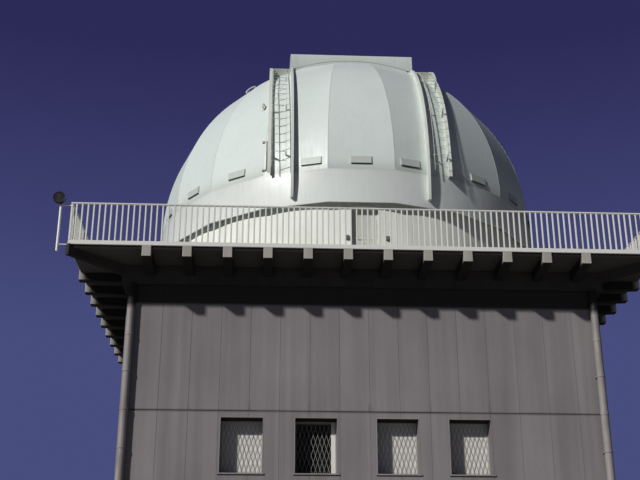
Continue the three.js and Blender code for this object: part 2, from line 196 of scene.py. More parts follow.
@dataclass(frozen=True)
class Concrete(Finish):
    """Cast or precast concrete, weathered, with the grain of its boards and rain streaks.

    The eye sees a dull mauve grey that changes tone from panel to panel, soft vertical streaks under the
    rain and blotches at the feet of the joints. Faces that look down take a painted shade, and bands of
    painted shade can be laid by height or by distance from the tower's axis.
    """

    base: str = "#8d8789"
    dark: str = "#6c6769"
    pale: str = "#a29c9c"
    # Painted shade: the colour that faces looking down take in place of their own.
    under: str = "#2f2e2b"
    top: str = ""
    # The next colour stains the level joints, and it is also the painted shade that the two fields after
    # it lay, by distance from the tower's axis and by height.
    soot: str = "#403f3d"
    shade_reach: Flat | None = None
    shade_height: Flat | None = None
    joint_stain_strength: float = 0.0
    joint_band: float = 60 * MM
    panel_width: float = 750 * MM
    panel_start: float = 100 * MM
    panel_height: float = 3800 * MM
    blotch: Flat = (75 * MM, 342 * MM)
    board: float = 125 * MM
    cloud: float = 2222 * MM
    # The grain is drawn some times coarser than it is, or it would not show.
    grain: float = 9 * MM
    relief: float = 1.6 * MM
    panel_change: float = 0.5
    roughness: float = 0.88

    def dress(self, tree: Tree, shader: Node) -> None:
        """Sets the shader and adds boards, streaks, blotches, grain and painted shade.

        Args:
            tree: The material's nodes.
            shader: Its surface shader.
        """
        place = add_node(tree, "TexCoord")
        where = place.outputs["Object"]
        point = add_node(tree, "SeparateXYZ", {0: where}).outputs
        facing = add_node(tree, "SeparateXYZ", {0: place.outputs["Normal"]}).outputs
        along, column, row_part, panel_tone = self.panels(tree, point, facing)
        board_at = add_node(tree, "Math", {0: along, 1: self.board}, operation="DIVIDE").outputs[0]
        cloud = add_node(
            tree, "TexNoise", {"Vector": where, "Scale": 1 / self.cloud, "Detail": 6.0}).outputs[0]
        fine = add_node(
            tree, "TexNoise",
            {"Vector": where, "Scale": 0.4 / self.grain, "Detail": 3.0}).outputs[0]
        board_no = add_node(tree, "Math", {0: board_at}, operation="FLOOR")
        board_tone = add_node(
            tree, "TexWhiteNoise", {"W": board_no.outputs[0]}, noise_dimensions="1D")
        stretched = add_node(
            tree, "VectorMath", {0: where, 1: (1.0, 1.0, 0.07)}, operation="MULTIPLY")
        streak = add_node(
            tree, "TexNoise",
            {"Vector": stretched.outputs[0], "Scale": 0.35 / self.board, "Detail": 5.0})
        colour = self.toned(tree, (
            (panel_tone, 0.22 * self.panel_change), (board_tone.outputs[0], 0.10),
            (streak.outputs[0], 0.55), (cloud, 0.45), (fine, 0.16)))
        stained = self.blotched(tree, colour, column, row_part, panel_tone)
        if self.joint_stain_strength:
            stained = self.joint_stain(tree, row_part, cloud, stained)
        surface = self.weathered_and_shaded(tree, point, facing[2], stained)
        tree.links.new(surface, shader.inputs["Base Color"])
        self.roughen(tree, shader, board_at, fine)
        shader.inputs["Roughness"].default_value = self.roughness
        shader.inputs["Specular IOR Level"].default_value = 0.3

    def panels(
        self, tree: Tree, point: Sequence[Socket], facing: Sequence[Socket]
    ) -> tuple[Socket, ...]:
        """Finds the panel that a place lies in.

        Args:
            tree: The material's nodes.
            point: X, Y and Z on the object.
            facing: The three parts of the way that the surface looks.

        Returns:
            The way along the wall, the same in panels, the height within a panel from 0 to 1,
            and a tone from 0 to 1 that each panel has of its own.
        """
        turned = add_node(tree, "Math", {0: facing[0]}, operation="ABSOLUTE")
        is_side = add_node(tree, "Math", {0: turned.outputs[0], 1: 0.7}, operation="GREATER_THAN")
        along = add_node(tree, "Mix", {0: is_side.outputs[0], 2: point[0], 3: point[1]}).outputs[0]
        handed = add_node(tree, "Math", {0: facing[0], 1: facing[1]}, operation="SUBTRACT")
        shifted = add_node(
            tree, "Math", {0: handed.outputs[0], 1: -self.panel_start, 2: along},
            operation="MULTIPLY_ADD")
        column = add_node(
            tree, "Math", {0: shifted.outputs[0], 1: self.panel_width},
            operation="DIVIDE").outputs[0]
        row = add_node(tree, "Math", {0: point[2], 1: self.panel_height}, operation="DIVIDE")
        column_no = add_node(tree, "Math", {0: column}, operation="FLOOR")
        row_no = add_node(tree, "Math", {0: row.outputs[0]}, operation="FLOOR")
        row_part = add_node(tree, "Math", {0: row.outputs[0]}, operation="FRACT")
        panel = add_node(
            tree, "CombineXYZ",
            {0: column_no.outputs[0], 1: row_no.outputs[0], 2: is_side.outputs[0]})
        tone = add_node(tree, "TexWhiteNoise", {"Vector": panel.outputs[0]})
        return along, column, row_part.outputs[0], tone.outputs[0]

    def toned(self, tree: Tree, tones: Sequence[tuple[Socket, float]]) -> Socket:
        """Turns a weighted sum of tones to a colour between the dark and the pale one.

        Args:
            tree: The material's nodes.
            tones: Each tone, from 0 to 1, and its weight.

        Returns:
            The colour.
        """
        level = (1 - sum(weight for _, weight in tones)) / 2
        for tone, weight in tones:
            level = add_node(
                tree, "Math", {0: tone, 1: weight, 2: level}, operation="MULTIPLY_ADD").outputs[0]
        colour = add_node(
            tree, "ValToRGB", {0: level},
            ramp=((0.12, self.dark), (0.88, self.pale), (0.5, self.base)))
        return colour.outputs[0]

    def blotched(
        self, tree: Tree, colour: Socket, column: Socket, row_part: Socket, panel_tone: Socket
    ) -> Socket:
        """Adds a dark blotch at the foot of some joints.

        Args:
            tree: The material's nodes.
            colour: The colour so far.
            column: The way along the wall, in panels.
            row_part: The height within a panel, from 0 to 1.
            panel_tone: How much of the blotch each panel has.

        Returns:
            The colour with its blotches.
        """
        wide, tall = self.blotch[0] / self.panel_width, self.blotch[1] / self.panel_height
        seam_at = add_node(tree, "Math", {0: column, 1: 1.0}, operation="PINGPONG")
        near_seam = add_node(
            tree, "MapRange", {0: seam_at.outputs[0], 1: 0.0, 2: wide, 3: 1.0, 4: 0.0},
            interpolation_type="SMOOTHSTEP")
        near_joint = add_node(
            tree, "MapRange", {0: row_part, 1: 0.0, 2: tall, 3: 1.0, 4: 0.0},
            interpolation_type="SMOOTHSTEP")
        corner = add_node(
            tree, "Math", {0: near_seam.outputs[0], 1: near_joint.outputs[0]}, operation="MULTIPLY")
        share = add_node(tree, "Math", {0: corner.outputs[0], 1: panel_tone}, operation="MULTIPLY")
        stained = add_node(
            tree, "Mix", {0: share.outputs[0], 6: colour, 7: linear(self.dark)}, data_type="RGBA")
        return stained.outputs[2]

    def joint_stain(self, tree: Tree, row_part: Socket, cloud: Socket, colour: Socket) -> Socket:
        """Lays a patchy dark band along the level joints between the panels.

        Args:
            tree: The material's nodes.
            row_part: The height within a panel, from 0 to 1.
            cloud: The noise that breaks the band up.
            colour: The colour so far.

        Returns:
            The colour with the band.
        """
        width = self.joint_band / self.panel_height
        off = add_node(tree, "Math", {0: row_part, 1: 0.5}, operation="PINGPONG")
        near = add_node(
            tree, "MapRange", {0: off.outputs[0], 1: 0.0, 2: width, 3: 1.0, 4: 0.0},
            interpolation_type="SMOOTHSTEP")
        patch = add_node(tree, "MapRange", {0: cloud, 1: 0.35, 2: 0.6, 3: 0.25, 4: self.joint_stain_strength})
        share = add_node(
            tree, "Math", {0: near.outputs[0], 1: patch.outputs[0]}, operation="MULTIPLY")
        band = add_node(
            tree, "Mix", {0: share.outputs[0], 6: colour, 7: linear(self.soot)}, data_type="RGBA")
        return band.outputs[2]

    def weathered_and_shaded(
        self, tree: Tree, point: Sequence[Socket], upright: Socket, colour: Socket
    ) -> Socket:
        """Paints shade on what looks down, gives the tops their own colour and lays the bands of painted
        shade.

        Args:
            tree: The material's nodes.
            point: X, Y and Z on the object.
            upright: How far the surface looks up, from -1 to 1.
            colour: The colour so far.

        Returns:
            The weathered colour.
        """
        # Painted shade: faces that look down blend into the under colour.
        down = add_node(tree, "MapRange", {0: upright, 1: -0.9, 2: -0.3, 3: 1.0, 4: 0.0})
        surface = add_node(
            tree, "Mix", {0: down.outputs[0], 6: colour, 7: linear(self.under)},
            data_type="RGBA").outputs[2]
        if self.top:
            is_top = add_node(tree, "Math", {0: upright, 1: 0.5}, operation="GREATER_THAN")
            worn = add_node(tree, "Mix", {0: 0.3, 6: linear(self.top), 7: colour}, data_type="RGBA")
            surface = add_node(
                tree, "Mix", {0: is_top.outputs[0], 6: surface, 7: worn.outputs[2]},
                data_type="RGBA").outputs[2]
        # Painted shade, laid by distance from the tower's axis.
        if self.shade_reach:
            sides = [
                add_node(tree, "Math", {0: part}, operation="ABSOLUTE").outputs[0]
                for part in point[:2]]
            reach = add_node(tree, "Math", {0: sides[0], 1: sides[1]}, operation="MAXIMUM")
            surface = self.painted_shade(tree, surface, reach.outputs[0], self.shade_reach)
        # Painted shade, laid by height.
        if self.shade_height:
            surface = self.painted_shade(tree, surface, point[2], self.shade_height)
        return surface

    def painted_shade(self, tree: Tree, colour: Socket, measure: Socket, limits: Flat) -> Socket:
        """Lays painted shade on the surface, full at the first limit of a measure and none at the second.

        Args:
            tree: The material's nodes.
            colour: The colour so far.
            measure: A height, or a distance from the tower's axis.
            limits: Where the painted shade is full and where it ends.

        Returns:
            The colour with its painted shade.
        """
        share = add_node(
            tree, "MapRange",
            {0: measure, 1: limits[0], 2: limits[1], 3: 1.0, 4: 0.0}, interpolation_type="SMOOTHSTEP")
        laid = add_node(
            tree, "Mix", {0: share.outputs[0], 6: colour, 7: linear(self.soot)}, data_type="RGBA")
        return laid.outputs[2]

    def roughen(self, tree: Tree, shader: Node, board_at: Socket, fine: Socket) -> None:
        """Raises the grain and the seams that the formwork's boards left.

        Args:
            tree: The material's nodes.
            shader: The surface shader.
            board_at: The way along the wall, in boards.
            fine: The grain, from 0 to 1.
        """
        edge = add_node(tree, "Math", {0: board_at, 1: 0.5}, operation="PINGPONG")
        ridge = add_node(tree, "MapRange", {0: edge.outputs[0], 1: 0.0, 2: 0.05, 3: 0.0, 4: 1.0})
        height = add_node(
            tree, "Math", {0: ridge.outputs[0], 1: 0.35, 2: fine}, operation="MULTIPLY_ADD")
        bump = add_node(
            tree, "Bump", {"Height": height.outputs[0], "Distance": self.relief, "Strength": 0.8})
        tree.links.new(bump.outputs[0], shader.inputs["Normal"])


@dataclass(frozen=True)
class Enamel(Finish):
    """Brushed or sprayed enamel on steel, with rain streaks, thin dirt and worn edges.

    The eye sees an even coat with a soft broad gloss, broken by the slight waves of the sheet,
    faint runs of dirt down the slope and another tone where an edge has lost its paint.
    """

    base: str = "#dfe4dc"
    dirt: str = "#b9c0b4"
    worn: str = "#8f9088"
    patch: float = 900 * MM
    streak: float = 60 * MM
    streak_length: float = 12.0
    wave: float = 420 * MM
    wave_depth: float = 9 * MM
    dirt_share: float = 0.35
    wear: float = 0.35
    gore_change: float = 0.0
    roughness: float = 0.38
    # The colour of a band of painted shade, and the heights where it is full and where it starts.
    soot: str = "#262523"
    shade_height: Flat | None = None

    def dress(self, tree: Tree, shader: Node) -> None:
        """Sets the shader and adds dirt, runs, worn edges, the waves of the sheet and, where heights are
        given, a band of painted shade.

        Args:
            tree: The material's nodes.
            shader: Its surface shader.
        """
        place = add_node(tree, "TexCoord")
        where = place.outputs["Object"]
        cloud = add_node(
            tree, "TexNoise", {"Vector": where, "Scale": 1 / self.patch, "Detail": 5.0})
        flat = (1.0, 1.0, 1 / self.streak_length)
        stretched = add_node(tree, "VectorMath", {0: where, 1: flat}, operation="MULTIPLY")
        runs = add_node(
            tree, "TexNoise",
            {"Vector": stretched.outputs[0], "Scale": 1 / self.streak, "Detail": 3.0})
        dirt = add_node(
            tree, "Math", {0: cloud.outputs[0], 1: runs.outputs[0]}, operation="MULTIPLY")
        share = add_node(
            tree, "MapRange", {0: dirt.outputs[0], 1: 0.16, 2: 0.42, 3: 0.0, 4: self.dirt_share})
        coated = add_node(
            tree, "Mix",
            {0: share.outputs[0], 6: linear(self.base), 7: linear(self.dirt)}, data_type="RGBA")
        colour = coated.outputs[2]
        if self.gore_change:
            colour = self.gore_tone(tree, where, colour)
        shape = add_node(tree, "NewGeometry")
        chipped = add_node(
            tree, "MapRange",
            {0: shape.outputs["Pointiness"], 1: 0.53, 2: 0.62, 3: 0.0, 4: self.wear})
        edged = add_node(
            tree, "Mix", {0: chipped.outputs[0], 6: colour, 7: linear(self.worn)}, data_type="RGBA")
        surface = edged.outputs[2]
        # Painted shade: darkens everything above a height, as under the gallery.
        if self.shade_height:
            height = add_node(tree, "SeparateXYZ", {0: where}).outputs[2]
            black, unshaded = self.shade_height
            shade_share = add_node(tree, "MapRange", {0: height, 1: unshaded, 2: black, 3: 0.0, 4: 1.0})
            surface = add_node(
                tree, "Mix", {0: shade_share.outputs[0], 6: surface, 7: linear(self.soot)},
                data_type="RGBA").outputs[2]
        tree.links.new(surface, shader.inputs["Base Color"])
        gloss = add_node(
            tree, "MapRange",
            {0: dirt.outputs[0], 1: 0.1, 2: 0.5,
             3: self.roughness - 0.06, 4: self.roughness + 0.16})
        tree.links.new(gloss.outputs[0], shader.inputs["Roughness"])
        wave = add_node(tree, "TexNoise", {"Vector": where, "Scale": 1 / self.wave, "Detail": 1.5})
        bump = add_node(
            tree, "Bump", {"Height": wave.outputs[0], "Distance": self.wave_depth, "Strength": 0.5})
        tree.links.new(bump.outputs[0], shader.inputs["Normal"])
        shader.inputs["IOR"].default_value = 1.5

    def gore_tone(self, tree: Tree, where: Socket, colour: Socket) -> Socket:
        """Gives each gore of the dome a slight tone of its own, as sheets of other batches have.

        Args:
            tree: The material's nodes.
            where: The place on the object.
            colour: The coat's colour.

        Returns:
            The toned colour.
        """
        point = add_node(tree, "SeparateXYZ", {0: where})
        azimuth = add_node(
            tree, "Math", {0: point.outputs[0], 1: point.outputs[1]}, operation="ARCTAN2")
        gore = add_node(
            tree, "Math",
            {0: azimuth.outputs[0], 1: GORE_COUNT / (2 * math.pi), 2: 0.5},
            operation="MULTIPLY_ADD")
        number = add_node(tree, "Math", {0: gore.outputs[0]}, operation="FLOOR")
        tone = add_node(tree, "TexWhiteNoise", {"W": number.outputs[0]}, noise_dimensions="1D")
        factor = add_node(
            tree, "MapRange", {0: tone.outputs[0], 1: 0.0, 2: 1.0, 3: 0.0, 4: self.gore_change})
        toned = add_node(
            tree, "Mix", {0: factor.outputs[0], 6: colour, 7: linear(self.dirt)}, data_type="RGBA")
        return toned.outputs[2]


@dataclass(frozen=True)
class PaintedRender(Finish):
    """Sand render under masonry paint.

    The eye sees a matt off-white with the grain of the sand, faint runs and a little dirt that
    gathers in patches.
    """

    base: str = "#d3d8cf"
    dirt: str = "#a9aea3"
    run: float = 181.8 * MM
    patch: float = 1250 * MM
    # The sand is drawn some times coarser than it is, or it would not show.
    sand: float = 14 * MM
    relief: float = 2 * MM
    roughness: float = 0.82

    def dress(self, tree: Tree, shader: Node) -> None:
        """Sets the shader and adds the sand's grain and the runs.

        Args:
            tree: The material's nodes.
            shader: Its surface shader.
        """
        place = add_node(tree, "TexCoord")
        where = place.outputs["Object"]
        stretched = add_node(
            tree, "VectorMath", {0: where, 1: (1.0, 1.0, 0.12)}, operation="MULTIPLY")
        runs = add_node(
            tree, "TexNoise",
            {"Vector": stretched.outputs[0], "Scale": 1 / self.run, "Detail": 5.0})
        cloud = add_node(
            tree, "TexNoise", {"Vector": where, "Scale": 1 / self.patch, "Detail": 4.0})
        both = add_node(
            tree, "Math", {0: runs.outputs[0], 1: cloud.outputs[0]}, operation="MULTIPLY")
        colour = add_node(
            tree, "ValToRGB", {0: both.outputs[0]}, ramp=((0.12, self.base), (0.5, self.dirt)))
        tree.links.new(colour.outputs[0], shader.inputs["Base Color"])
        grain = add_node(
            tree, "TexNoise", {"Vector": where, "Scale": 0.5 / self.sand, "Detail": 3.0})
        bump = add_node(
            tree, "Bump", {"Height": grain.outputs[0], "Distance": self.relief, "Strength": 0.5})
        tree.links.new(bump.outputs[0], shader.inputs["Normal"])
        shader.inputs["Roughness"].default_value = self.roughness


@dataclass(frozen=True)
class FloatGlass(Finish):
    """Clear float glass in thin panes, a little dusty.

    The eye sees the recess behind it with a weak green-grey tint and a faint reflection.
    """

    tint: str = "#8fa09c"
    dust: str = "#b4bdb6"
    dust_patch: float = 333.3 * MM
    roughness: float = 0.06
    see_through: float = 0.03

    def dress(self, tree: Tree, shader: Node) -> None:
        """Sets the shader and adds the dust that takes a little of the clearness.

        Args:
            tree: The material's nodes.
            shader: Its surface shader.
        """
        place = add_node(tree, "TexCoord")
        dust = add_node(
            tree, "TexNoise",
            {"Vector": place.outputs["Object"], "Scale": 1 / self.dust_patch, "Detail": 5.0})
        colour = add_node(
            tree, "ValToRGB", {0: dust.outputs[0]}, ramp=((0.35, self.tint), (0.75, self.dust)))
        tree.links.new(colour.outputs[0], shader.inputs["Base Color"])
        shader.inputs["Roughness"].default_value = self.roughness
        shader.inputs["IOR"].default_value = 1.52
        shader.inputs["Alpha"].default_value = self.see_through


def chamfered(u: Flat, v: Flat, inset: float, cut: float) -> list[Flat]:
    """The outline of a rectangle with its corners cut off.

    Args:
        u: Its lower and higher first coordinate.
        v: Its lower and higher second coordinate.
        inset: How far the whole outline is drawn in.
        cut: How much of each corner goes.

    Returns:
        Eight points in order.
    """
    u0, u1, v0, v1 = u[0] + inset, u[1] - inset, v[0] + inset, v[1] - inset
    return [
        (u0 + cut, v0), (u1 - cut, v0), (u1, v0 + cut), (u1, v1 - cut),
        (u1 - cut, v1), (u0 + cut, v1), (u0, v1 - cut), (u0, v0 + cut),
    ]


def on_arc(x: float, radius: float, elevation: float) -> Point:
    """A point on a circle about the dome's X axis.

    Args:
        x: Its distance from the middle plane.
        radius: The circle's radius.
        elevation: Degrees from the front horizon.

    Returns:
        The point.
    """
    angle = math.radians(elevation)
    return x, -radius * math.cos(angle), SPRING_Z + radius * math.sin(angle)


def on_ball(azimuth: float, elevation: float, radius: float = DOME_R) -> Point:
    """A point on a ball about the dome's centre.

    Args:
        azimuth: Degrees from the front towards +X.
        elevation: Degrees above the level of the centre.
        radius: The ball's radius.

    Returns:
        The point.
    """
    turn, rise = math.radians(azimuth), math.radians(elevation)
    reach = radius * math.cos(rise)
    return reach * math.sin(turn), -reach * math.cos(turn), SPRING_Z + radius * math.sin(rise)


def circle(
    middle: Vector, radius: float, across: Vector, beside: Vector, sides: int
) -> list[Point]:
    """The points of a circle.

    Args:
        middle: Its middle.
        radius: Its radius.
        across: The way to its first point.
        beside: The way to its first quarter.
        sides: Points around it.

    Returns:
        The points in order.
    """
    angles = [2 * math.pi * k / sides for k in range(sides)]
    return [tuple(middle + radius * (math.cos(a) * across + math.sin(a) * beside)) for a in angles]


@dataclass
class Shape:
    """Gathers the closed solids of one piece in one mesh."""

    turn: Matrix = field(default_factory=Matrix)
    mesh: bmesh.types.BMesh = field(default_factory=bmesh.new)

    def point(self, place: Point) -> bmesh.types.BMVert:
        """Adds a vertex, turned as the shape is."""
        return self.mesh.verts.new(self.turn @ Vector(place))

    def loft(self, rings: Sequence[Sequence[Point]], closed: bool = False) -> None:
        """Skins a row of outlines that have the same number of points.

        Args:
            rings: The outlines in order.
            closed: Whether the last one joins the first, instead of both being capped.
        """
        made = [[self.point(place) for place in ring] for ring in rings]
        count = len(made[0])
        following = made[1:] + made[:1] if closed else made[1:]
        for low, high in zip(made, following):
            for i in range(count):
                j = (i + 1) % count
                self.mesh.faces.new((low[i], low[j], high[j], high[i]))
        if not closed:
            self.mesh.faces.new(made[0][::-1])
            self.mesh.faces.new(made[-1])

    def prism(self, outline: Sequence[Point], way: Point) -> None:
        """Pulls a flat outline along a way.

        Args:
            outline: Its points in order.
            way: The step from the first face to the last.
        """
        self.loft([outline, [(a + way[0], b + way[1], c + way[2]) for a, b, c in outline]])

    def box(self, low: Point, high: Point, bevel: float = 2 * MM) -> None:
        """Adds a block with chamfered edges.

        Args:
            low: Its lowest corner.
            high: Its highest corner.
            bevel: Width taken off every edge.
        """
        rings = []
        for z, inset in (
            (low[2], bevel), (low[2] + bevel, 0), (high[2] - bevel, 0), (high[2], bevel)
        ):
            cut = bevel / 2 if inset else bevel
            outline = chamfered((low[0], high[0]), (low[1], high[1]), inset, cut)
            rings.append([(x, y, z) for x, y in outline])
        self.loft(rings)

    def tube(
        self, path: Sequence[Point], radius: float, sides: int = 10, closed: bool = False
    ) -> None:
        """Runs a round bar along a path.

        Args:
            path: The points of its middle line.
            radius: The bar's radius.
            sides: Flats around it.
            closed: Whether the path returns to its start.
        """
        points = [Vector(place) for place in path]
        count = len(points)
        ways = []
        for i in range(count):
            before = points[i - 1] if i or closed else points[0]
            after = points[(i + 1) % count] if i < count - 1 or closed else points[-1]
            ways.append((after - before).normalized())
        across = ways[0].orthogonal().normalized()
        rings = []
        for place, way in zip(points, ways):
            across = (across - way * across.dot(way)).normalized()
            rings.append(circle(place, radius, across, way.cross(across), sides))
        self.loft(rings, closed)

    def turned(self, axis: tuple[Point, Point], profile: Sequence[Flat], sides: int = 24) -> None:
        """Turns a profile about an axis, as on a lathe.

        Args:
            axis: The axis's foot and a point further along it.
            profile: Distances along the axis and radii, from one end to the other.
            sides: Flats around it.
        """
        foot, way = Vector(axis[0]), (Vector(axis[1]) - Vector(axis[0])).normalized()
        across = way.orthogonal().normalized()
        beside = way.cross(across)
        rings = []
        for along, radius in profile:
            rings.append(circle(foot + way * along, radius, across, beside, sides))
        self.loft(rings)

    def arc_bar(
        self, x: Flat, radius: Flat, elevation: Flat, bevel: float = 2 * MM, step: float = 2.0
    ) -> None:
        """Bends a rectangular bar about the dome's X axis.

        Args:
            x: Its lower and higher X.
            radius: Its inner and outer radius.
            elevation: The degrees at its two ends.
            bevel: Width taken off its long edges.
            step: The greatest bend between two sections, in degrees.
        """
        count = max(1, math.ceil(abs(elevation[1] - elevation[0]) / step))
        outline = chamfered(x, radius, 0, bevel)
        rings = []
        for i in range(count + 1):
            level = elevation[0] + (elevation[1] - elevation[0]) * i / count
            rings.append([on_arc(a, r, level) for a, r in outline])
        self.loft(rings)

    def picture_frame(self, x: Flat, z: Flat, width: float, y: Flat, bevel: float = 3 * MM) -> None:
        """Adds four mitred bars around an opening in a wall that faces -Y.

        Args:
            x: The opening's lower and higher X.
            z: Its lower and higher Z.
            width: The bars' width, outwards from the opening, or inwards where it is negative.
            y: The bars' front and back.
            bevel: Width taken off their front edges.
        """
        way = math.copysign(1, width)
        section = [
            (0, y[1]), (0, y[0] + bevel), (bevel * way, y[0]),
            (width - bevel * way, y[0]), (width, y[0] + bevel), (width, y[1]),
        ]
        rings = []
        for right, top in ((0, 0), (1, 0), (1, 1), (0, 1)):
            out, up = 2 * right - 1, 2 * top - 1
            rings.append([(x[right] + out * w, depth, z[top] + up * w) for w, depth in section])
        self.loft(rings, closed=True)

    def trim(self, normal: Point, offset: float = 0.0) -> None:
        """Cuts off what lies beyond a plane about the dome's centre, and closes the cut.

        Args:
            normal: The way towards what goes.
            offset: The plane's distance from the dome's centre along it.
        """
        everything = self.mesh.verts[:] + self.mesh.edges[:] + self.mesh.faces[:]
        way = Vector(normal).normalized()
        bmesh.ops.bisect_plane(
            self.mesh, geom=everything, dist=1e-6, plane_co=Vector((0, 0, SPRING_Z)) + way * offset,
            plane_no=way, clear_outer=True)
        rims = [edge for edge in self.mesh.edges if edge.is_boundary]
        bmesh.ops.holes_fill(self.mesh, edges=rims, sides=0)

    def finish(
        self,
        name: str,
        finish: Finish,
        body: Body = Body.TOWER,
        replaces: Sequence[str] = (),
        smooth: float = 30.0,
    ) -> bpy.types.Object:
        """Makes the piece, gives it its finish and its body, and hides the frame's nodes that it stands
        for.

        Args:
            name: The piece's name.
            finish: Its surface.
            body: What it moves with.
            replaces: The frame's nodes that it stands for.
            smooth: The greatest angle that is shaded as a curve, in degrees.

        Returns:
            The piece.
        """
        bmesh.ops.recalc_face_normals(self.mesh, faces=self.mesh.faces)
        mesh = bpy.data.meshes.new(name)
        self.mesh.to_mesh(mesh)
        self.mesh.free()
        mesh.shade_smooth()
        mesh.set_sharp_from_angle(angle=math.radians(smooth))
        mesh.materials.append(finish.material())
        piece = bpy.data.objects.new(name, mesh)
        bpy.context.scene.collection.objects.link(piece)
        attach(piece, body.value)
        if replaces:
            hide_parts(*replaces)
        LOG.info("%s: %d faces", name, len(mesh.polygons))
        return piece


def refinish(finish: Finish, *nodes: str) -> None:
    """Gives nodes of the frame that stay a finish.

    Args:
        finish: Their surface.
        *nodes: Their names.
    """
    for name in nodes:
        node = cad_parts[name]
        node.data.materials.clear()
        node.data.materials.append(finish.material())
        LOG.info("%s keeps its shape", name)


@dataclass
class Relief:
    """A wall drawn on a grid whose cells lie at their own depth behind its face."""

    across: list[float]
    up: list[float]
    depth: Callable[[float, float], float | None]
    place: Callable[[float, float, float], Point]
    back: float
    ring: bool = False

    def cell(self, i: int, j: int) -> float | None:
        """The depth of a cell, or None in a hole or outside the wall.

        Args:
            i: Its column.
            j: Its row.

        Returns:
            The depth.
        """
        columns, rows = len(self.across) - 1, len(self.up) - 1
        if self.ring:
            i %= columns
        if not (0 <= i < columns and 0 <= j < rows):
            return None
        middle = (self.across[i] + self.across[i + 1]) / 2
        return self.depth(middle, (self.up[j] + self.up[j + 1]) / 2)

    def build(self, shape: Shape) -> None:
        """Adds the wall's front, back and every step between two depths.

        Args:
            shape: The shape that takes it.
        """
        columns, rows = len(self.across) - 1, len(self.up) - 1
        cells = {(i, j): self.cell(i, j) for i in range(-1, columns + 1) for j in range(-1, rows + 1)}
        made: dict[tuple[int, int, float], bmesh.types.BMVert] = {}

        def corner(i: int, j: int, depth: float) -> bmesh.types.BMVert:
            """The vertex at a grid crossing and a depth.

            Args:
                i: The grid line across.
                j: The grid line up.
                depth: The depth.

            Returns:
                The vertex, made once and then shared.
            """
            key = (i % columns if self.ring else i, j, depth)
            if key not in made:
                made[key] = shape.point(self.place(self.across[key[0]], depth, self.up[j]))
            return made[key]

        def levels(i: int, j: int, low: float, high: float) -> list[float]:
            """The depths that meet at a grid crossing, between two limits."""
            around = {cells[i - a, j - b] for a in (0, 1) for b in (0, 1)} | {self.back}
            return sorted(d for d in around if d is not None and low <= d <= high)

        def step(
            first: float | None, second: float | None, a: tuple[int, int], b: tuple[int, int]
        ) -> None:
            """Adds the face between two cells of unlike depth.

            Args:
                first: The depth of the cell before the grid line.
                second: The depth of the cell after it.
                a: The crossing where the line starts.
                b: The crossing where it ends.
            """
            one = self.back if first is None else first
            other = self.back if second is None else second
            if one == other:
                return
            low, high = min(one, other), max(one, other)
            loop = [corner(*a, d) for d in levels(*a, low, high)]
            loop += [corner(*b, d) for d in reversed(levels(*b, low, high))]
            shape.mesh.faces.new(loop)

        for i in range(columns):
            for j in range(rows):
                depth = cells[i, j]
                if depth is None:
                    continue
                around = ((i, j), (i + 1, j), (i + 1, j + 1), (i, j + 1))
                shape.mesh.faces.new([corner(*at, depth) for at in around])
                shape.mesh.faces.new([corner(*at, self.back) for at in reversed(around)])
        for i in range(columns if self.ring else columns + 1):
            for j in range(rows):
                step(cells[i - 1, j], cells[i, j], (i, j), (i, j + 1))
        for i in range(columns):
            for j in range(rows + 1):
                step(cells[i, j - 1], cells[i, j], (i, j), (i + 1, j))


# Panels cast on boards: a dull mauve grey with streaks and dark-stained level joints, and a band of
# painted shade that blackens the wall's top under the gallery.
PRECAST = Concrete(
    "precast_concrete_board_cast", "tower_concrete", base="#8c898a", dark="#777475", pale="#9c999a",
    shade_height=(10.40, 10.32), joint_stain_strength=0.55)
# Smooth cast brackets, painted once: paler than the wall, with painted shade that turns them nearly black
# towards the wall and on the faces that look down.
CAST = Concrete(
    "painted_concrete_brackets", "tower_concrete", base="#aba9a3", dark="#92908a", pale="#b8b6b0",
    under="#302e2c", soot="#2a2826", shade_reach=(7.22, 7.42), panel_change=0)
# The cast beam under the gallery: coloured nearly black, a painted shade for the deep shade that it
# stands in.
BEAM = Concrete(
    "sooty_concrete_ring_beam", "tower_concrete", base="#4b4845", dark="#393735", pale="#5a5753",
    panel_change=0)
# The cast slab: edges coloured dark as painted shade under the kerb, an underside whose grey is painted
# shade too, and a top that the weather bleached.
SLAB = Concrete(
    "cast_concrete_slab", "slab_concrete", base="#302f2c", dark="#252422", pale="#3b3936",
    under="#55524d", top="#e4e2dc", panel_change=0)
# Smooth cast bands: a little paler than the panels and without their boards' marks.
TRIM = Concrete(
    "smooth_concrete_window_trim", "tower_concrete", base="#94918f", dark="#817e7c", pale="#a19e9c",
    panel_change=0, relief=0.6 * MM)
# Sand render under masonry paint: a clean matt white with faint runs.
DRUM_COAT = PaintedRender("painted_sand_render", "drum_render", base="#edf1ea", dirt="#d3d8cf")
# Enamel sprayed on sheet: a pale green-grey, each gore a little unlike the next.
DOME_COAT = Enamel(
    "sprayed_enamel_dome_sheet", "dome_enamel", base="#dbe4e0", dirt="#bac3be", gore_change=0.12,
    roughness=0.42, dirt_share=0.25, wave_depth=5 * MM)
# The same enamel on the skirt's sheet, made whiter as painted light for its brighter lit look, with the
# slow waves of the sheet.
SKIRT_COAT = Enamel(
    "sprayed_enamel_skirt_sheet", "dome_enamel", base="#eef4f1", dirt="#d2d9d5", roughness=0.42,
    dirt_share=0.3, wave_depth=5 * MM)
# Enamelled wire mesh: a flat mid grey in the vents, and below each hood a strip that stands in for the
# hood's shade.
VENT_COAT = Enamel(
    "grey_enamel_mesh_and_shade_strip", "dome_enamel", base="#8f938e", dirt="#7b7f7a", patch=0.1)
# Enamel brushed on steel section: off-white, worn at the edges.
RAIL_COAT = Enamel(
    "brushed_enamel_steel_rail", "rail_enamel", base="#e6ebe4", dirt="#c6ccc2", patch=0.4, wear=0.4)
